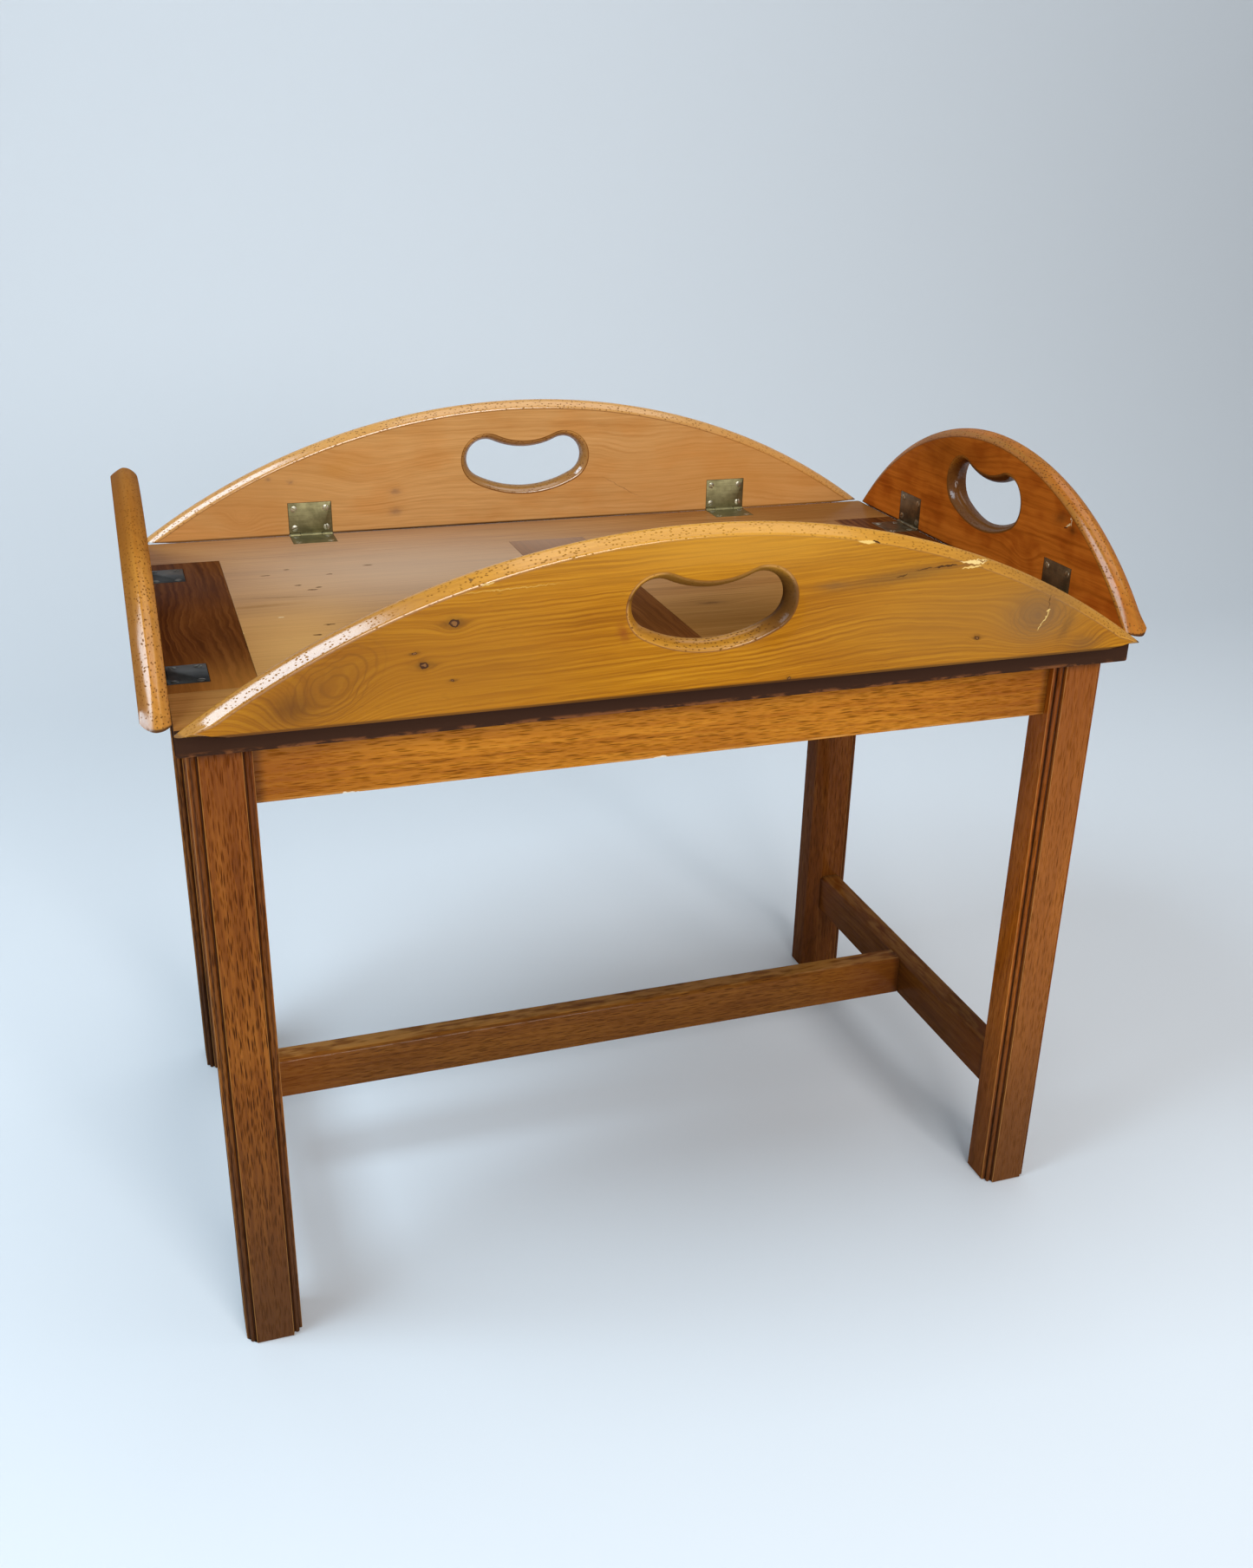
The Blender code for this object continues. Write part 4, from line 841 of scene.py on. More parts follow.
class Board:
    """The finish of one board or timber, seen in the board's own place.

    The place is U along the grain, V across it on the show face and W through it, from an
    origin. Spots are given as (U, V) and reach right through the board. The masks rim,
    grime and dull say where it has a rounded edge, is dirty from hands, and has no polish.
    """

    def __init__(self, name, order, origin=(0, 0, 0)):
        self.material = bpy.data.materials.new(name)
        self.material.use_nodes = True
        self.w = w = Wiring(self.material.node_tree)
        world = w.add("ShaderNodeTexCoord").outputs["Object"]
        self.axes = dict(zip("XYZ", w.add("ShaderNodeSeparateXYZ", {0: world}).outputs))
        turned = w.add("ShaderNodeCombineXYZ", {i: self.axes[axis] for i, axis in enumerate(order)})
        self.place = w.vector("SUBTRACT", turned.outputs[0], origin)
        self.along, self.across, self.depth = w.add("ShaderNodeSeparateXYZ", {0: self.place}).outputs
        self.ragged, self.wavy = self.shaken(*RAGGED_SHAKE), self.shaken(*WAVY_SHAKE)
        self.colour = self.fibre = self.rim = self.grime = self.dull = None
        self.lift = 0.0
        self.marks = []

    def shaken(self, scale, reach):
        """The place moved by a reach times three noises of the scale, each less a half."""
        w = self.w
        shake = w.add("ShaderNodeTexNoise", {"Vector": self.place, "Scale": scale, "Detail": 2})
        shake = w.vector("SUBTRACT", shake.outputs["Color"], (0.5, 0.5, 0.5))
        return w.vector("ADD", self.place, w.vector("MULTIPLY", shake, reach))

    def spot(self, at, reach, turn=0, place=None):
        """The spot group's outputs for an ellipse with the half sizes, turned in degrees."""
        return self.w.group(spot_on_board, Place=place or self.place, Centre=(*at, 0),
                            Size=(*reach, THROUGH), Turn=(0, 0, math.radians(turn)))

    def swirl(self, at, reach, height, turn=0):
        """The rings lifted by a height round a spot, so that they bend over it."""
        near = self.spot(at, reach, turn)["Near"]
        self.lift = self.w.maths("MULTIPLY_ADD", near, height, self.lift)

    def eye(self, at, reach, height, turn=0):
        """The rings parted round a spot and closed in loops inside it: Near times
        (height - (V - the spot's V)) is added to their place.
        """
        near = self.spot(at, reach, turn)["Near"]
        rise = self.w.maths("SUBTRACT", height + at[1], self.across)
        self.lift = self.w.maths("MULTIPLY_ADD", near, rise, self.lift)

    def loops(self, at, reach, count, colour, strength, turn=0):
        """Thin uneven dark loops round a spot, fading out past its half sizes: lines where
        count times Far is a whole number.
        """
        w = self.w
        far = self.spot(at, reach, turn, self.wavy)["Far"]
        phase = w.maths("FRACT", w.times(far, count))
        line = w.step(w.maths("ABSOLUTE", w.maths("SUBTRACT", phase, 0.5)), *LOOP_LINE)
        patchy = w.between(w.noise(self.wavy, LOOP_PATCH), *LOOP_PATCHINESS)
        inside = w.times(w.step(far, *LOOPS_END), strength)
        mask = w.maths("MULTIPLY", w.times(line, patchy), inside, clamp=True)
        self.marks.append((mask, colour))

    def stain(self, at, reach, colour, strength, turn=0):
        """A soft patch of another colour with a ragged edge."""
        near = self.spot(at, reach, turn, self.ragged)["Near"]
        self.marks.append((self.w.times(near, strength), colour))

    def split(self, at, reach, colour, turn=0, strength=1.0):
        """A crack, a splinter or a chip: a ragged ellipse with a crisp edge."""
        far = self.spot(at, reach, turn, self.ragged)["Far"]
        self.marks.append((self.w.times(self.w.step(far, *SPLIT_EDGE), strength), colour))

    def pin_knot(self, at, radius):
        """A knot with a dark rim, a tan heart and dark smudges along the grain."""
        w = self.w
        self.eye(at, (KNOT_EYE[0] * radius, KNOT_EYE[1] * radius), KNOT_LIFT * radius)
        for (length, width), strength in KNOT_SMUDGES:
            self.stain(at, (length * radius, width * radius), KNOT_RIM, strength)
        far = self.spot(at, (radius, KNOT_FLATNESS * radius), 0, self.ragged)["Far"]
        rim = w.times(w.step(far, *KNOT_RIM_INSIDE), w.step(far, *KNOT_RIM_OUTSIDE))
        self.marks.append((w.step(far, *KNOT_HEART_EDGE), KNOT_HEART))
        self.marks.append((w.times(rim, KNOT_RIM_STRENGTH), KNOT_RIM))

    def each(self, kind, *rows):
        """One mark or shade of a kind for each row of its values."""
        for row in rows:
            kind(*row)

    def figure(self, tones, pitch, slope, waviness, ripple=0.0012, banding=0.3, ringing=0.05):
        """The growth figure as a colour that runs through the tones, dark to light.

        Banding is the broad bands' share of it, and ringing the thin ring lines' share.
        """
        w = self.w
        growth = w.group(growth_rings, Place=self.place, Lift=self.lift, Pitch=pitch, Slope=slope,
                         Waviness=waviness, Ripple=ripple)
        self.fibre = growth["Fibre"]
        shade = w.maths("MULTIPLY_ADD", growth["Bands"], banding, w.times(growth["Lines"], 1 - banding))
        faint = w.times(growth["Rings"], growth["Lines"], ringing * 2)
        shade = w.maths("SUBTRACT", w.maths("ADD", shade, ringing * RINGING_BALANCE), faint)
        self.colour = w.ramp(w.step(shade, *FIGURE_CONTRAST), *tones)
        grey = w.between(self.fibre, *FIBRE_STREAK)
        streak = w.add("ShaderNodeCombineColor", {0: grey, 1: grey, 2: grey}).outputs[0]
        self.colour = w.blend(FIBRE_STRENGTH, self.colour, streak, "MULTIPLY")

    def flush(self, size, tint, strength):
        """Broad soft patches where the colour is multiplied by a tint."""
        w = self.w
        scale = (1 / size[0], 1 / size[1], 1 / size[1])
        amount = w.times(w.step(w.noise(self.place, scale), *FLUSH_EDGE), strength)
        self.colour = w.blend(amount, self.colour, tint, "MULTIPLY")

    def dash(self, size, width, bareness, colour, strength):
        """Short dark dashes along the grain, and where they lie."""
        ink = self.w.group(dashes, Place=self.place, Size=(*size, size[1]), Width=width,
                           Bareness=bareness)["Ink"]
        self.tint(self.w.times(ink, strength), colour)
        return ink

    def tint(self, mask, colour):
        """The colour turned to another where a mask is 1."""
        self.colour = self.w.blend(mask, self.colour, colour)

    def shade(self, value, low, high, colour, strength):
        """The colour turned to another as a value goes from low to high."""
        self.tint(self.w.times(self.w.step(value, low, high), strength), colour)

    def mark(self):
        """The stains, knots, cracks and chips laid over the figure in their order."""
        for mask, colour in self.marks:
            self.tint(mask, colour)

    def rounded_edge(self, tone, dot, handling):
        """The leaf's edge: a lighter tone in streaks round the leaf, with the cut pores as
        fine dots, a brown line of wax along the arrises, widest at the hand hole, where it is
        also painted shade of the hole's rounded rim, a painted shade along the foot, where the
        joint with the tray lies in shadow, and the hand hole's edge darkened by handling.
        Returns the dots.
        """
        w = self.w
        self.rim = w.add("ShaderNodeAttribute", attribute_name="rim").outputs["Fac"]
        streak = w.step(w.noise(self.place, EDGE_STREAK), *STREAK_CONTRAST)
        self.tint(w.times(self.rim, w.between(streak, *EDGE_TONE_STRENGTH)), tone)
        hole = self.spot((0, hole_middle()), HAND_REACH)["Far"]
        self.grime = w.times(w.step(hole, *HAND_EDGE), handling)
        self.tint(w.times(self.rim, self.grime), HAND_BROWN)
        ink = w.group(dashes, Place=self.place, Size=DOT_SIZE, Width=DOT_WIDTH, Bareness=DOT_BARENESS)["Ink"]
        dots = w.times(self.rim, ink)
        self.tint(w.times(dots, DOT_STRENGTH), dot)
        # The arris line is widest where the hand hole is gripped, and there it is also painted shade of the
        # hole's rounded rim
        arris = w.times(self.rim, w.maths("SUBTRACT", 1, self.rim))
        self.tint(w.times(arris, w.between(self.grime, *ARRIS_WAX_AND_SHADE)), ARRIS_BROWN)
        # Painted shade along the foot, where the joint with the tray lies in shadow
        self.shade(self.across, *FOOT_SHADE, WAX_AND_SHADE_BROWN, FOOT_SHADE_STRENGTH)
        return dots

    def finish(self, roughness, polish, pores=None, blur=POLISH_ROUGHNESS, edge=EDGE_POLISH):
        """The polish over the wood, thicker on a rounded edge, worn off where the board is
        dull and broken by open pores, and a bump from the fibre and the pores.
        """
        w = self.w
        rough = w.between(self.fibre, roughness - ROUGHNESS_SPREAD, roughness + ROUGHNESS_SPREAD)
        height = w.times(self.fibre, FIBRE_HEIGHT)
        coat = w.between(self.rim, polish, edge) if self.rim else polish
        if self.dull:
            coat = w.times(coat, w.maths("SUBTRACT", 1, self.dull))
        if pores:
            rough = w.maths("MULTIPLY_ADD", pores, PORE_ROUGHNESS, rough)
            height = w.maths("SUBTRACT", height, pores)
            coat = w.times(coat, w.maths("SUBTRACT", 1, pores))
        bump = w.add("ShaderNodeBump", {"Height": height, "Strength": WOOD_BUMP, "Distance": BUMP_DEPTH})
        w.feed(self.material.node_tree.nodes["Principled BSDF"], {
            "Base Color": self.colour, "Roughness": rough, "Specular IOR Level": WOOD_SHINE,
            "Coat Weight": coat, "Coat Roughness": blur, "Coat IOR": POLISH_IOR,
            "Normal": bump.outputs[0]})
        return self.material


def front_leaf_yew():
    """Golden yew with an eye at the left, pin knots, a burr at the right and old chips."""
    board = Board("front_leaf_yew", "XZY", (0, TRAY_HEIGHT, 0))
    w = board.w
    eye, eye_turn, burr, foot_knot = (-0.2549, 0.0240), 36, (0.2525, 0.0320), (0.294, 0.007)
    splinter, torn = (0.70, 0.48, 0.16), (0.66, 0.42, 0.12)
    board.eye(eye, (0.044, 0.023), 0.022, eye_turn)
    board.eye(burr, (0.032, 0.021), 0.018)
    board.swirl(foot_knot, (0.016, 0.010), 0.012)
    board.swirl((0.120, 0.040), (0.060, 0.022), -0.010)
    board.loops((-0.2505, 0.0268), (0.036, 0.020), 5.5, (0.15, 0.045, 0.005), 0.75, eye_turn)
    board.loops(burr, (0.027, 0.020), 7.5, (0.11, 0.050, 0.018), 0.8)
    board.each(
        board.stain,
        # The browner left and right of the board, and the paler wood over the hand hole
        ((-0.180, 0.030), (0.110, 0.050), (0.30, 0.110, 0.006), 0.6),
        ((0.020, 0.098), (0.120, 0.020), (0.60, 0.290, 0.035), 0.6),
        ((0.220, 0.040), (0.130, 0.045), (0.34, 0.150, 0.026), 0.75),
        # The eye's surround and its heart, then the burr's heart and a streak beside it
        ((-0.270, 0.020), (0.050, 0.022), (0.18, 0.060, 0.006), 0.7, 30),
        ((-0.279, 0.015), (0.012, 0.008), (0.07, 0.022, 0.004), 0.5),
        (burr, (0.026, 0.019), (0.18, 0.095, 0.042), 0.8),
        ((0.277, 0.021), (0.004, 0.012), (0.12, 0.055, 0.020), 0.5, -25),
        # The knot at the foot, a red fleck left of the hand hole and two smudges right of it
        (foot_knot, (0.014, 0.006), (0.15, 0.07, 0.025), 0.6),
        ((-0.0625, 0.0450), (0.0035, 0.0060), (0.22, 0.050, 0.008), 0.7, 20),
        ((0.140, 0.069), (0.045, 0.005), (0.13, 0.065, 0.022), 0.6, 5),
        ((0.088, 0.066), (0.012, 0.003), (0.16, 0.08, 0.03), 0.5))
    board.each(
        board.pin_knot,
        ((-0.175, 0.0611), 0.0030), ((-0.1952, 0.0355), 0.0026), ((-0.2009, 0.0435), 0.0012),
        ((-0.177, 0.0233), 0.0010), ((0.058, 0.0023), 0.0012), ((0.203, 0.0191), 0.0014))
    board.each(
        board.split,
        # A pale scratch along the upper left edge, with a nick at its end
        ((-0.141, 0.0808), (0.041, 0.0005), (0.62, 0.36, 0.07), 2, 0.5),
        ((-0.1523, 0.0850), (0.0060, 0.0009), torn, 8, 0.8),
        ((-0.1628, 0.0872), (0.0013, 0.0009), CRACK_BROWN, 0, 0.7),
        # The chip at the upper edge, right of the hand hole
        ((0.1090, 0.0948), (0.0070, 0.0015), (0.78, 0.52, 0.16), -6),
        ((0.1165, 0.0940), (0.0030, 0.0008), CRACK_BROWN, -20),
        ((0.1050, 0.0932), (0.0080, 0.0004), (0.30, 0.12, 0.02), -4, 0.8),
        # The long crack to the right, and the splintered chip that it ends in
        ((0.1380, 0.0690), (0.0060, 0.0006), CRACK_BROWN, 12, 0.7),
        ((0.1550, 0.0725), (0.0080, 0.0005), CRACK_BROWN, 8, 0.7),
        ((0.1720, 0.0735), (0.0110, 0.0008), CRACK_BROWN, 4, 0.9),
        ((0.1960, 0.0745), (0.0150, 0.0013), (0.80, 0.56, 0.22), -6),
        ((0.1930, 0.0715), (0.0090, 0.0008), (0.72, 0.46, 0.14), 4),
        ((0.1900, 0.0730), (0.0130, 0.0004), (0.22, 0.10, 0.03), -2),
        ((0.2035, 0.0738), (0.0060, 0.0004), (0.30, 0.14, 0.04), -10),
        # Splinters and a crack in the burr
        ((0.2568, 0.0275), (0.0105, 0.0005), splinter, 60, 0.85),
        ((0.2600, 0.0345), (0.0022, 0.0007), splinter, 20),
        ((0.2598, 0.0410), (0.0070, 0.0004), CRACK_BROWN, 96, 0.8))
    board.figure(((0.24, 0.078, 0.003), (0.39, 0.146, 0.005), (0.50, 0.210, 0.009)),
                 0.0019, -0.035, 0.009, 0.0022, 0.18, 0.08)
    board.flush((0.11, 0.035), (0.84, 0.72, 0.56), 0.5)
    board.dash((0.014, 0.0014), 0.20, 0.56, (0.10, 0.035, 0.006), 0.4)
    # The hand hole is the most gripped at its right and its top, and at the right its wall is darkened by
    # grime and painted shade
    gripped = w.maths("MAXIMUM", w.step(board.along, *GRIPPED_ALONG), w.step(board.across, *GRIPPED_HEIGHT))
    gripped = w.between(gripped, *GRIP_STRENGTH)
    dots = board.rounded_edge((0.62, 0.28, 0.032), (0.07, 0.025, 0.008), gripped)
    grimed_and_shaded = board.spot(GRIMED_AND_SHADED_PLACE, GRIMED_AND_SHADED_SIZE, 15)["Near"]
    # The polish is worn to the right, and the edge's left end is glazed darker
    worn = w.times(w.step(board.along, *WORN_ALONG), 0.5)
    board.dull = w.maths("MAXIMUM", worn, w.times(board.grime, 0.95))
    board.tint(w.times(w.step(board.along, *GLAZED_ALONG), board.rim, 0.5), GLAZED_BROWN)
    # Grime and painted shade on the hand hole's right wall
    board.tint(w.times(grimed_and_shaded, board.rim, 0.9), WAX_AND_SHADE_BROWN)
    board.mark()
    return board.finish(0.42, FACE_POLISH, dots)


def back_leaf_yew():
    """Paler peach yew with a faint ripple and a few grey smudges."""
    board = Board("back_leaf_yew", "XZY", (0, TRAY_HEIGHT, 0))
    smudge_grey, smudge_flatness = (0.22, 0.12, 0.07), 0.6
    board.swirl((-0.150, 0.045), (0.050, 0.030), 0.014, 20)
    board.eye((-0.262, 0.0200), (0.014, 0.012), 0.008)
    board.swirl((0.110, 0.060), (0.040, 0.020), 0.010)
    board.swirl((0.215, 0.020), (0.050, 0.016), -0.010)
    board.each(
        board.stain,
        ((-0.1757, 0.0590), (0.018, 0.008), (0.52, 0.230, 0.050), 0.5, 15),
        ((-0.270, 0.040), (0.080, 0.050), (0.44, 0.205, 0.060), 0.5),
        ((0.230, 0.030), (0.130, 0.050), (0.52, 0.215, 0.045), 0.55))
    for at, reach in (((-0.1236, 0.0350), 0.0050), ((-0.1243, 0.0166), 0.0055),
                      ((-0.2361, 0.0520), 0.0028), ((-0.2173, 0.0487), 0.0030)):
        board.stain(at, (reach, smudge_flatness * reach), smudge_grey, 0.6)
    board.split((0.094, 0.028), (0.026, 0.0004), (0.20, 0.09, 0.04), -29, 0.5)
    board.figure(((0.48, 0.230, 0.070), (0.56, 0.285, 0.094), (0.61, 0.320, 0.115)),
                 0.0022, 0.02, 0.014, 0.0030, 0.25)
    board.flush((0.05, 0.030), (0.92, 0.76, 0.55), 0.5)
    dots = board.rounded_edge((0.56, 0.270, 0.060), (0.12, 0.05, 0.02), 0.5)
    board.mark()
    return board.finish(0.42, FACE_POLISH, dots)


def right_leaf_yew():
    """Dark reddish yew, mottled, with a chip by its edge."""
    board = Board("right_leaf_yew", "YZX", (0, TRAY_HEIGHT, 0))
    board.swirl((0.030, 0.090), (0.060, 0.024), 0.014)
    board.eye((-0.0746, 0.0294), (0.020, 0.013), 0.012)
    board.each(
        board.stain,
        # The darker top, then the bruise round the chip
        ((0.060, 0.080), (0.090, 0.030), (0.14, 0.038, 0.004), 0.5),
        ((-0.120, 0.066), (0.010, 0.005), (0.05, 0.016, 0.005), 0.6, -20),
        ((-0.137, 0.060), (0.005, 0.004), (0.03, 0.010, 0.003), 0.7))
    board.each(
        board.split,
        ((-0.1300, 0.0625), (0.0040, 0.0010), (0.72, 0.52, 0.26), -35),
        ((-0.1330, 0.0660), (0.0042, 0.0006), (0.72, 0.54, 0.30), 75),
        ((-0.1270, 0.0600), (0.0030, 0.0006), CRACK_BROWN, -10))
    board.figure(((0.34, 0.078, 0.006), (0.47, 0.112, 0.010), (0.54, 0.140, 0.014)),
                 0.0034, 0.05, 0.022, 0.0040)
    board.flush((0.030, 0.022), (0.66, 0.52, 0.44), 0.7)
    dots = board.rounded_edge((0.34, 0.140, 0.018), (0.09, 0.03, 0.01), 0.85)
    board.mark()
    return board.finish(0.40, 0.2 * FACE_POLISH, dots, edge=0.4 * EDGE_POLISH)


def left_leaf_yew():
    """Orange yew with small knots, its edge speckled and darker towards the outer face."""
    board = Board("left_leaf_yew", "YZX", (0, TRAY_HEIGHT, 0))
    w = board.w
    board.swirl((0.050, 0.060), (0.050, 0.022), 0.014)
    board.each(
        board.pin_knot,
        ((-0.080, 0.050), 0.0022), ((0.120, 0.024), 0.0018), ((0.020, 0.020), 0.0012))
    board.figure(((0.20, 0.060, 0.004), (0.36, 0.122, 0.010), (0.46, 0.175, 0.020)),
                 0.0026, -0.03, 0.013, 0.0018)
    board.flush((0.06, 0.030), (0.80, 0.66, 0.50), 0.6)
    dots = board.rounded_edge((0.52, 0.225, 0.034), (0.07, 0.022, 0.007), 0.6)
    outer_half = w.step(board.depth, *(-HALF_LENGTH - share * LEAF_THICKNESS for share in OUTER_SHARE))
    board.tint(w.times(outer_half, board.rim, 0.75), (0.19, 0.066, 0.010))
    board.shade(board.across, 0.060, 0.105, (0.20, 0.060, 0.007), 0.65)
    board.dull = w.times(w.step(board.across, 0.025, 0.090), 0.90)
    board.mark()
    return board.finish(0.42, FACE_POLISH, dots, edge=0.8 * EDGE_POLISH)


def tray_edge(board):
    """The tray's outer edges and its underside, stained dark and dull, the dark also painted
    shade under the leaves' overhang and along their joints; the outer edges' lower arris
    paler in patches, worn and with a painted highlight; and the front half of its top dull.
    """
    w = board.w
    height, bottom = board.axes["Z"], TRAY_HEIGHT - TRAY_THICKNESS
    # The edges and underside are stained dark, and the dark is also painted shade: under the leaves'
    # overhang, and in a band on the top along the joints with the leaves
    sides = [w.step(w.maths("ABSOLUTE", board.axes[axis]), *(half - inset for inset in STAINED_AND_SHADED_EDGE))
             for axis, half in (("X", HALF_LENGTH), ("Y", HALF_WIDTH))]
    edge = w.maths("MAXIMUM", *sides)
    under = w.step(height, *(TRAY_HEIGHT - depth for depth in STAINED_AND_SHADED_DEPTH))
    stained_and_shaded = w.times(w.maths("MAXIMUM", edge, under), STAIN_AND_SHADE_STRENGTH)
    board.tint(stained_and_shaded, EDGE_STAIN_AND_SHADE)
    # The lower arris is paler in patches: worn, and a painted highlight where it catches light
    arris = w.step(height, *(bottom + rise for rise in WORN_AND_LIT_HEIGHT))
    worn = w.step(w.noise(board.place, WORN_AND_LIT_PATCH, 4), *WORN_AND_LIT_CONTRAST)
    board.tint(w.times(arris, worn, edge, WEAR_AND_LIGHT_STRENGTH), WORN_AND_LIT_BROWN)
    front = w.times(w.step(board.axes["Y"], *DULL_FRONT), DULLNESS)
    board.dull = w.maths("MAXIMUM", stained_and_shaded, front)


def tray_field_yew():
    """The tray's tan field, its grain along the tray, with short dark flecks."""
    board = Board("tray_field_yew", "XYZ")
    knot, fleck_width = (0.074, -0.062), 0.0017
    board.eye(knot, (0.026, 0.010), 0.006)
    board.each(
        board.stain,
        # The front darkened as painted shadow of the front leaf, a painted sheen on the back left,
        # painted light on the left, and the dark back right
        ((0.060, -0.110), (0.240, 0.080), (0.14, 0.056, 0.009), 0.8),
        ((-0.130, 0.100), (0.200, 0.120), (0.50, 0.350, 0.240), 0.9),
        ((-0.255, -0.080), (0.070, 0.110), (0.60, 0.320, 0.105), 0.8),
        ((0.300, 0.195), (0.110, 0.060), (0.17, 0.060, 0.014), 0.8),
        # The knot and two long streaks at the left
        (knot, (0.010, 0.003), (0.05, 0.02, 0.01), 0.7),
        ((-0.250, 0.039), (0.024, 0.0012), (0.10, 0.045, 0.015), 0.6, -6),
        ((-0.270, 0.020), (0.030, 0.0030), (0.20, 0.085, 0.020), 0.5, 3))
    for at, length in (((-0.2568, 0.1039), 0.0060), ((-0.2381, 0.1178), 0.0040),
                       ((-0.2351, 0.0696), 0.0060), ((-0.2253, 0.0543), 0.0075),
                       ((-0.2190, 0.0600), 0.0050), ((-0.2053, 0.0957), 0.0040),
                       ((-0.1700, 0.1150), 0.0070), ((-0.2254, -0.0392), 0.0070),
                       ((-0.2376, -0.0616), 0.0060)):
        board.split(at, (length, fleck_width), CRACK_BROWN, 0, 0.9)
    board.split((-0.2905, -0.042), (0.0050, 0.0007), (0.80, 0.58, 0.25), -60)
    board.split((-0.2587, -0.0125), (0.0030, 0.0006), (0.75, 0.60, 0.35))
    board.figure(((0.22, 0.086, 0.018), (0.32, 0.135, 0.032), (0.385, 0.172, 0.048)),
                 0.0028, 0.015, 0.022, 0.0022, 0.3, 0.05)
    board.flush((0.12, 0.030), (0.80, 0.68, 0.56), 0.5)
    board.dash((0.030, 0.0060), 0.15, 0.56, (0.09, 0.035, 0.014), 0.6)
    board.mark()
    tray_edge(board)
    return board.finish(0.40, TRAY_POLISH, blur=TRAY_BLUR)


def tray_cross_yew():
    """The dark stiles and muntin, their grain across the tray in wavy dark lines."""
    board = Board("tray_cross_yew", "YXZ")
    board.swirl((-0.020, -0.330), (0.045, 0.014), 0.014)
    board.swirl((0.060, 0.005), (0.060, 0.012), 0.010)
    board.each(
        board.stain,
        # The left stile's paler front, then the muntin's front darkened as painted shadow of the
        # front leaf and its back paled by a painted sheen
        ((-0.170, -0.300), (0.060, 0.060), (0.46, 0.175, 0.030), 0.65),
        ((-0.080, 0.0), (0.100, 0.060), (0.10, 0.034, 0.008), 0.5),
        ((0.190, 0.0), (0.120, 0.080), (0.40, 0.25, 0.165), 0.95))
    board.figure(((0.064, 0.017, 0.004), (0.112, 0.033, 0.007), (0.165, 0.054, 0.012)),
                 0.0040, 0.02, 0.016, 0.0065, 0.3, 0.10)
    board.flush((0.08, 0.020), (0.74, 0.64, 0.58), 0.5)
    board.mark()
    tray_edge(board)
    return board.finish(0.40, 0.5 * TRAY_POLISH, blur=TRAY_BLUR)


def stand_timber(name, order, tones, end, poring=1.0, arrises=(), chips=(), moulded=False,
                 wear_and_light=0.6, foot=0.72, front=0.0):
    """The stand's stained orange-brown timber, its open dark pores as strong as the poring.

    It is darker at the feet, from dirt and painted shade; in painted shade under the tray's
    top, in the corners near its ends and, by the share front, on a front leg's front face;
    and darker towards its ends. Arrises are the heights where it is paler: rubbed on the
    aprons, painted light on the stretchers' top faces. Chips are given as (U, V), and a
    moulded timber has old wax and painted shade in its quirks and is rubbed on its arrises.
    """
    board = Board(name, order)
    w = board.w
    board.figure(tones, 0.0030, 0.02, 0.012, 0.0040, 0.25, 0.03)
    board.flush((0.10, 0.030), (0.76, 0.66, 0.58), 0.5)
    # Painted shade: a front leg's front face darker, where the light falls less
    if front:
        face = -LEG_Y - HALF_LEG
        board.shade(board.axes["Y"], *(face + depth for depth in FRONT_SHADE_DEPTH), FRONT_SHADE_BROWN, front)
    fine = board.dash(*FINE_PORES, FINE_PORE_STRENGTH * poring)
    long = board.dash(*LONG_PORES, LONG_PORE_STRENGTH * poring)
    ends = w.maths("ABSOLUTE", board.along)
    # Darker towards the feet from dirt and painted shade, and painted shade under the tray's top and in the
    # corners at the ends
    board.each(
        board.shade,
        (board.axes["Z"], FOOT_TOP, 0.0, FOOT_BROWN, foot),
        (board.axes["Z"], STAND_TOP - TOP_SHADE_REACH, STAND_TOP - SHADE_EDGE, WAX_AND_SHADE_BROWN, TOP_SHADE_STRENGTH),
        (ends, END_SHARE * end, end, END_BROWN, END_STRENGTH),
        (ends, end - END_SHADE_REACH, end - SHADE_EDGE, WAX_AND_SHADE_BROWN, END_SHADE_STRENGTH))
    # Paler at the given heights: worn on the aprons' lower arris, painted light on the stretchers' top faces
    rubbed = w.step(w.noise(board.place, RUB_PATCH), *RUB_CONTRAST)
    for height in arrises:
        near = w.step(w.maths("ABSOLUTE", w.maths("SUBTRACT", board.axes["Z"], height)), RUB_REACH, RUB_HEART)
        board.tint(w.times(near, rubbed, wear_and_light), RUBBED_AND_LIT_TAN)
    if moulded:
        for attribute, strength, colour in LEG_COVERINGS:
            mask = w.add("ShaderNodeAttribute", attribute_name=attribute).outputs["Fac"]
            board.tint(w.times(mask, strength), colour)
    for at in chips:
        board.split(at, CHIP_SIZE, CHIP_CREAM)
    board.mark()
    return board.finish(0.42, FACE_POLISH, w.maths("MAXIMUM", fine, long))


def peg_hardwood():
    """The pegs' plain hardwood."""
    board = Board("peg_hardwood", "ZXY")
    board.figure(((0.46, 0.30, 0.16), (0.58, 0.40, 0.24), (0.66, 0.48, 0.31)), 0.0020, 0, 0.003)
    return board.finish(0.50, 0.05)


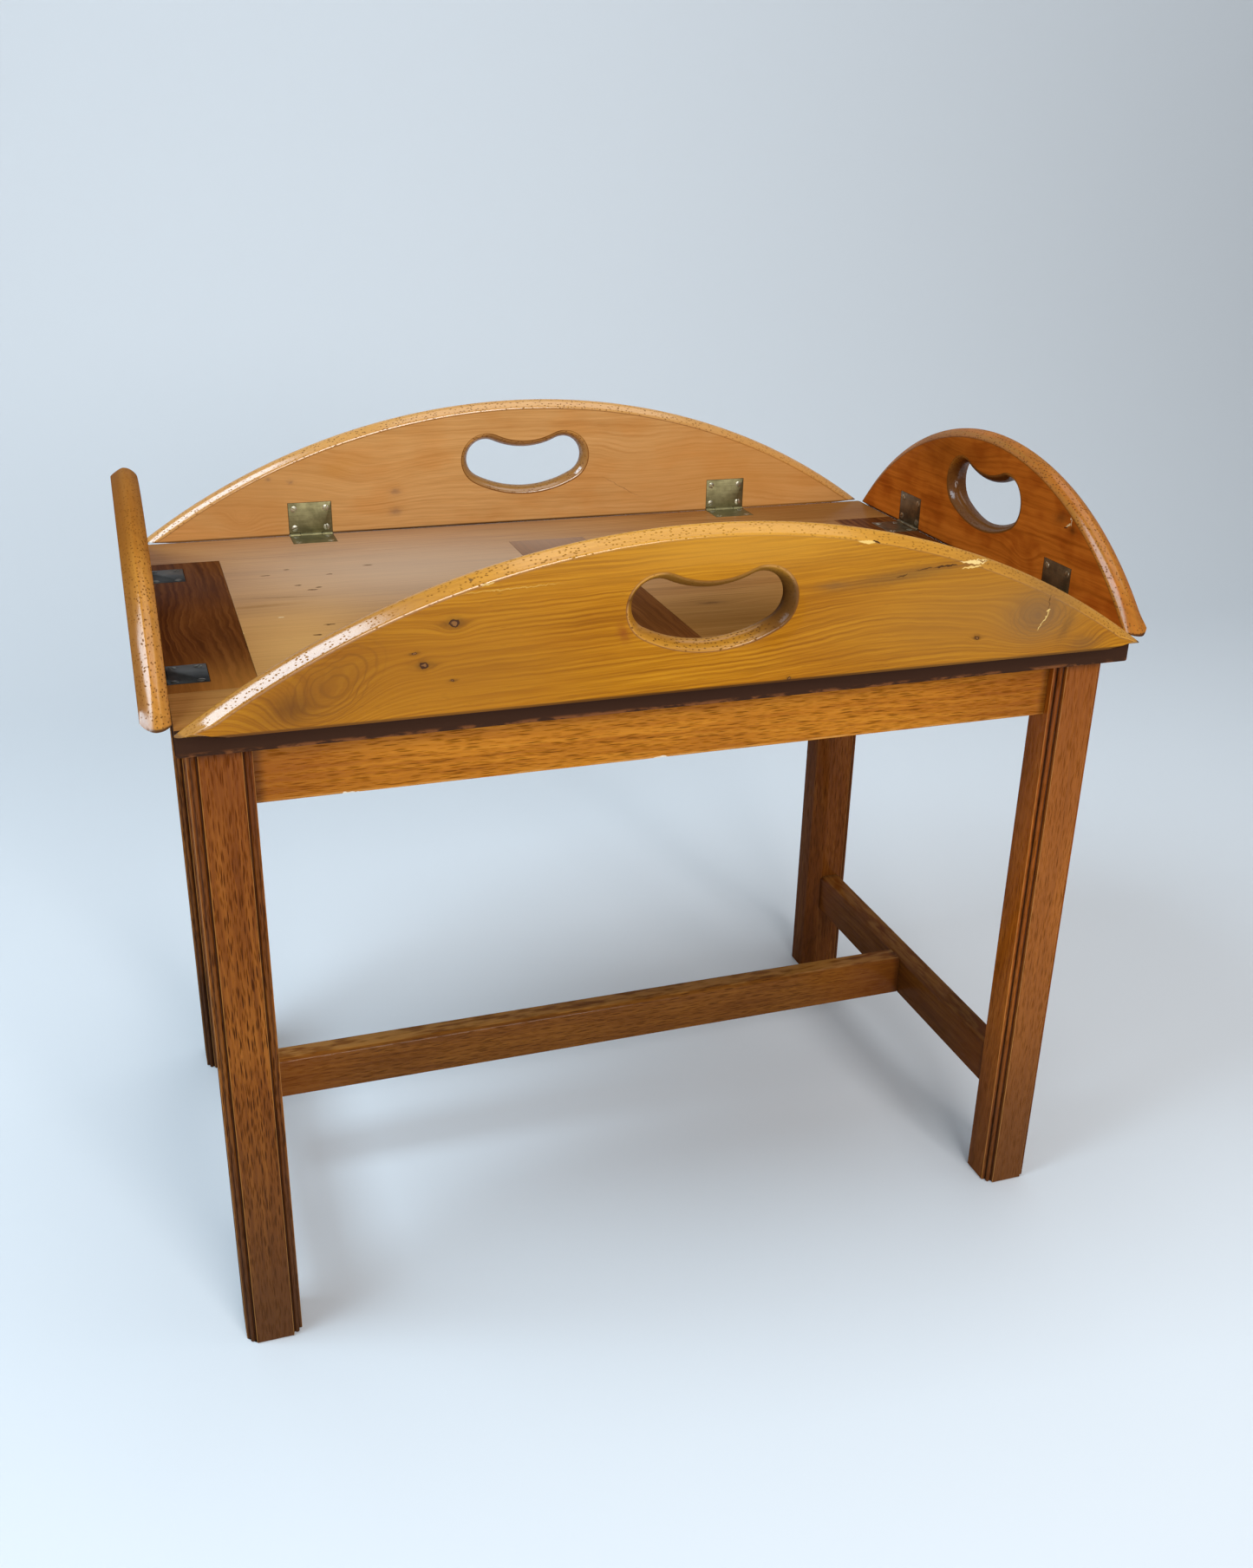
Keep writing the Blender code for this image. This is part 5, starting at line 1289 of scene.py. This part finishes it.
def metal(name, dull, bright, roughness, grain, waxed_and_shaded=False):
    """A rolled or drawn metal: two tones in soft patches, with fine scratches. Where it is
    waxed and shaded, the attribute says where old brown wax and painted shade fill it.
    """
    made = bpy.data.materials.new(name)
    made.use_nodes = True
    w = Wiring(made.node_tree)
    place = w.add("ShaderNodeTexCoord").outputs["Object"]
    patch = w.noise(place, METAL_PATCH, 4, 0.6)
    scratch = w.noise(place, grain, 3, 0.6)
    worn = w.maths("ADD", w.times(patch, PATCH_SHARE), w.times(scratch, SCRATCH_SHARE))
    colour, metallic = w.ramp(w.step(worn, *METAL_CONTRAST), dull, bright), 1.0
    if waxed_and_shaded:
        wax_and_shade = w.add("ShaderNodeAttribute", attribute_name="wax_and_shade").outputs["Fac"]
        colour, metallic = w.blend(wax_and_shade, colour, WAX_AND_SHADE_BROWN), w.maths("SUBTRACT", 1, wax_and_shade)
    bump = w.add("ShaderNodeBump", {"Height": scratch, "Strength": METAL_BUMP, "Distance": BUMP_DEPTH})
    rough = w.between(patch, roughness + METAL_ROUGHNESS_SPREAD, roughness - METAL_ROUGHNESS_SPREAD)
    w.feed(made.node_tree.nodes["Principled BSDF"], {
        "Base Color": colour, "Roughness": rough, "Metallic": metallic, "Normal": bump.outputs[0]})
    return made


# The stage


def make_stage():
    """A pale floor that curves up into a pale backdrop, the lamps and the camera."""
    curve = arc((FLOOR_BACK, FLOOR_CURVE), FLOOR_CURVE, -90, 0, FLOOR_CURVE_STEPS)
    profile = np.concatenate([[(FLOOR_FRONT, 0), (FLOOR_BACK, 0)], curve[1:],
                              [(FLOOR_BACK + FLOOR_CURVE, BACKDROP_HEIGHT)]])
    grid = np.array([[(x, y, z) for x in (-FLOOR_HALF_WIDTH, FLOOR_HALF_WIDTH)] for y, z in profile])
    rows = len(profile)
    numbers = np.arange(rows * 2).reshape(rows, 2)
    faces = np.stack([numbers[:-1, 0], numbers[:-1, 1], numbers[1:, 1], numbers[1:, 0]], axis=1)
    mesh = bpy.data.meshes.new("floor")
    mesh.from_pydata(grid.reshape(-1, 3).tolist(), [], faces.tolist())
    mesh.shade_smooth()
    paint = bpy.data.materials.new("floor_paint")
    paint.use_nodes = True
    shader = paint.node_tree.nodes["Principled BSDF"]
    shader.inputs["Base Color"].default_value = FLOOR_PAINT
    shader.inputs["Roughness"].default_value = FLOOR_ROUGHNESS
    mesh.materials.append(paint)
    floor = placed("floor", mesh)
    for name, place, target, size, power, tint in LAMPS:
        lamp = bpy.data.lights.new(name, "AREA")
        lamp.shape, lamp.size, lamp.energy, lamp.color = "SQUARE", size, power, tint
        holder = placed(name, lamp)
        aim = Matrix.Translation(place).translation - Matrix.Translation(target).translation
        holder.location = place
        holder.rotation_euler = aim.to_track_quat("Z", "Y").to_euler()
    world = bpy.data.worlds.new("room")
    world.use_nodes = True
    background = world.node_tree.nodes["Background"]
    background.inputs["Color"].default_value = ROOM_LIGHT
    background.inputs["Strength"].default_value = ROOM_POWER
    bpy.context.scene.world = world
    lens = bpy.data.cameras.new("camera")
    lens.lens, lens.sensor_width = CAMERA_LENS, CAMERA_SENSOR
    camera = placed("camera", lens)
    forward, right = np.array(CAMERA_FORWARD), np.array(CAMERA_RIGHT)
    right = right / np.linalg.norm(right)
    up = np.cross(right, forward / np.linalg.norm(forward))
    axes = np.stack([right, up, np.cross(right, up)], axis=1)
    camera.matrix_world = Matrix.Translation(CAMERA_PLACE) @ Matrix(axes.tolist()).to_4x4()
    bpy.context.scene.camera = camera
    bpy.context.scene.view_settings.view_transform = "Standard"


spot_on_board, growth_rings, dashes = spot_group(), growth_group(), dash_group()
make_leaves({
    "front": (front_leaf_yew(), "golden_yew"),
    "right": (right_leaf_yew(), "red_yew"),
    "back": (back_leaf_yew(), "pale_yew"),
    "left": (left_leaf_yew(), "speckled_yew"),
})

# The metals' scratches: a noise's scale along each axis
along_x, along_y, turned = (40, 900, 900), (900, 40, 900), (300, 300, 300)
drawn, ground = (900, 900, 900), (60, 900, 900)
olive = metal("olive_brass", (0.15, 0.130, 0.062), (0.26, 0.23, 0.115), 0.52, along_x)
bright_screw = metal("screw_brass", (0.34, 0.33, 0.26), (0.62, 0.59, 0.47), 0.36, turned, True)
# The left hinges' brass and screws are shaded copies, painted near black, and the right hinges' brass is a
# lit copy, painted brighter
make_hinges({
    "front": olive, "back": olive,
    "left": metal("shaded_brass", (0.006, 0.0055, 0.004), (0.018, 0.016, 0.010), 0.45, along_y),
    "right": metal("lit_brass", (0.11, 0.080, 0.045), (0.24, 0.18, 0.10), 0.45, along_y),
    "front_screw": bright_screw, "back_screw": bright_screw, "right_screw": bright_screw,
    "left_screw": metal("shaded_screw_brass", (0.03, 0.027, 0.020), (0.16, 0.15, 0.12), 0.40, turned, True),
    "pin": metal("pin_rod_brass", (0.35, 0.27, 0.12), (0.62, 0.50, 0.24), 0.34, drawn),
    "spring": metal("spring_blade_steel", (0.10, 0.11, 0.14), (0.32, 0.33, 0.36), 0.38, ground),
})

# The stand's tones, dark to light, its timbers' ends, where they are rubbed or chipped, and the stretchers'
# top faces, where light is painted
orange = ((0.33, 0.100, 0.006), (0.45, 0.155, 0.009), (0.54, 0.205, 0.016))
brown = ((0.30, 0.068, 0.004), (0.42, 0.107, 0.008), (0.53, 0.150, 0.015))
chestnut = ((0.19, 0.058, 0.005), (0.28, 0.094, 0.008), (0.37, 0.135, 0.014))
umber = ((0.14, 0.038, 0.004), (0.225, 0.066, 0.006), (0.31, 0.102, 0.012))
deep_umber = ((0.11, 0.028, 0.003), (0.17, 0.046, 0.005), (0.23, 0.072, 0.009))
long_end, short_end = LEG_X - HALF_LEG, LEG_Y - HALF_LEG
cross_end = LEG_X - STRETCHER_WIDTH / 2
apron_foot = STAND_TOP - APRON_DEPTH
apron_arrises = (apron_foot + RUB_REACH,)
apron_chips = ((-0.0168, apron_foot), (-0.2388, apron_foot))
lit_rail_top = (STRETCHER_HEIGHT + STRETCHER_DEPTH,)
# The legs' timbers are lit and shaded copies: the front right leg lit, the left legs in painted shade, the
# back right leg in deeper painted shade
lit_leg = stand_timber("lit_leg_timber", "ZXY", brown, STAND_TOP, 0.5, moulded=True, front=0.6)
shaded_leg = stand_timber("shaded_leg_timber", "ZXY", umber, STAND_TOP, 1.2, moulded=True, foot=0.84)
deep_shaded_leg = stand_timber("deep_shaded_leg_timber", "ZXY", deep_umber, STAND_TOP, 0.7, moulded=True, foot=0.3)
make_stand({
    "apron_front": stand_timber("front_apron_timber", "XZY", orange, long_end, 0.6, apron_arrises,
                                apron_chips),
    "apron_back": stand_timber("back_apron_timber", "XZY", orange, long_end, 1.0, apron_arrises),
    "apron_y": stand_timber("side_apron_timber", "YZX", orange, short_end, 1.0, apron_arrises),
    "stretcher_x": stand_timber("centre_stretcher_timber", "XZY", chestnut, cross_end, 0.8, lit_rail_top,
                                wear_and_light=0.3),
    "stretcher_y": stand_timber("side_stretcher_timber", "YZX", umber, short_end, 0.3, lit_rail_top,
                                wear_and_light=0.15),
    "front_left": shaded_leg, "front_right": lit_leg, "back_left": shaded_leg, "back_right": deep_shaded_leg,
    "peg": peg_hardwood(),
})
make_tray({"along": tray_field_yew(), "across": tray_cross_yew()})
make_stage()
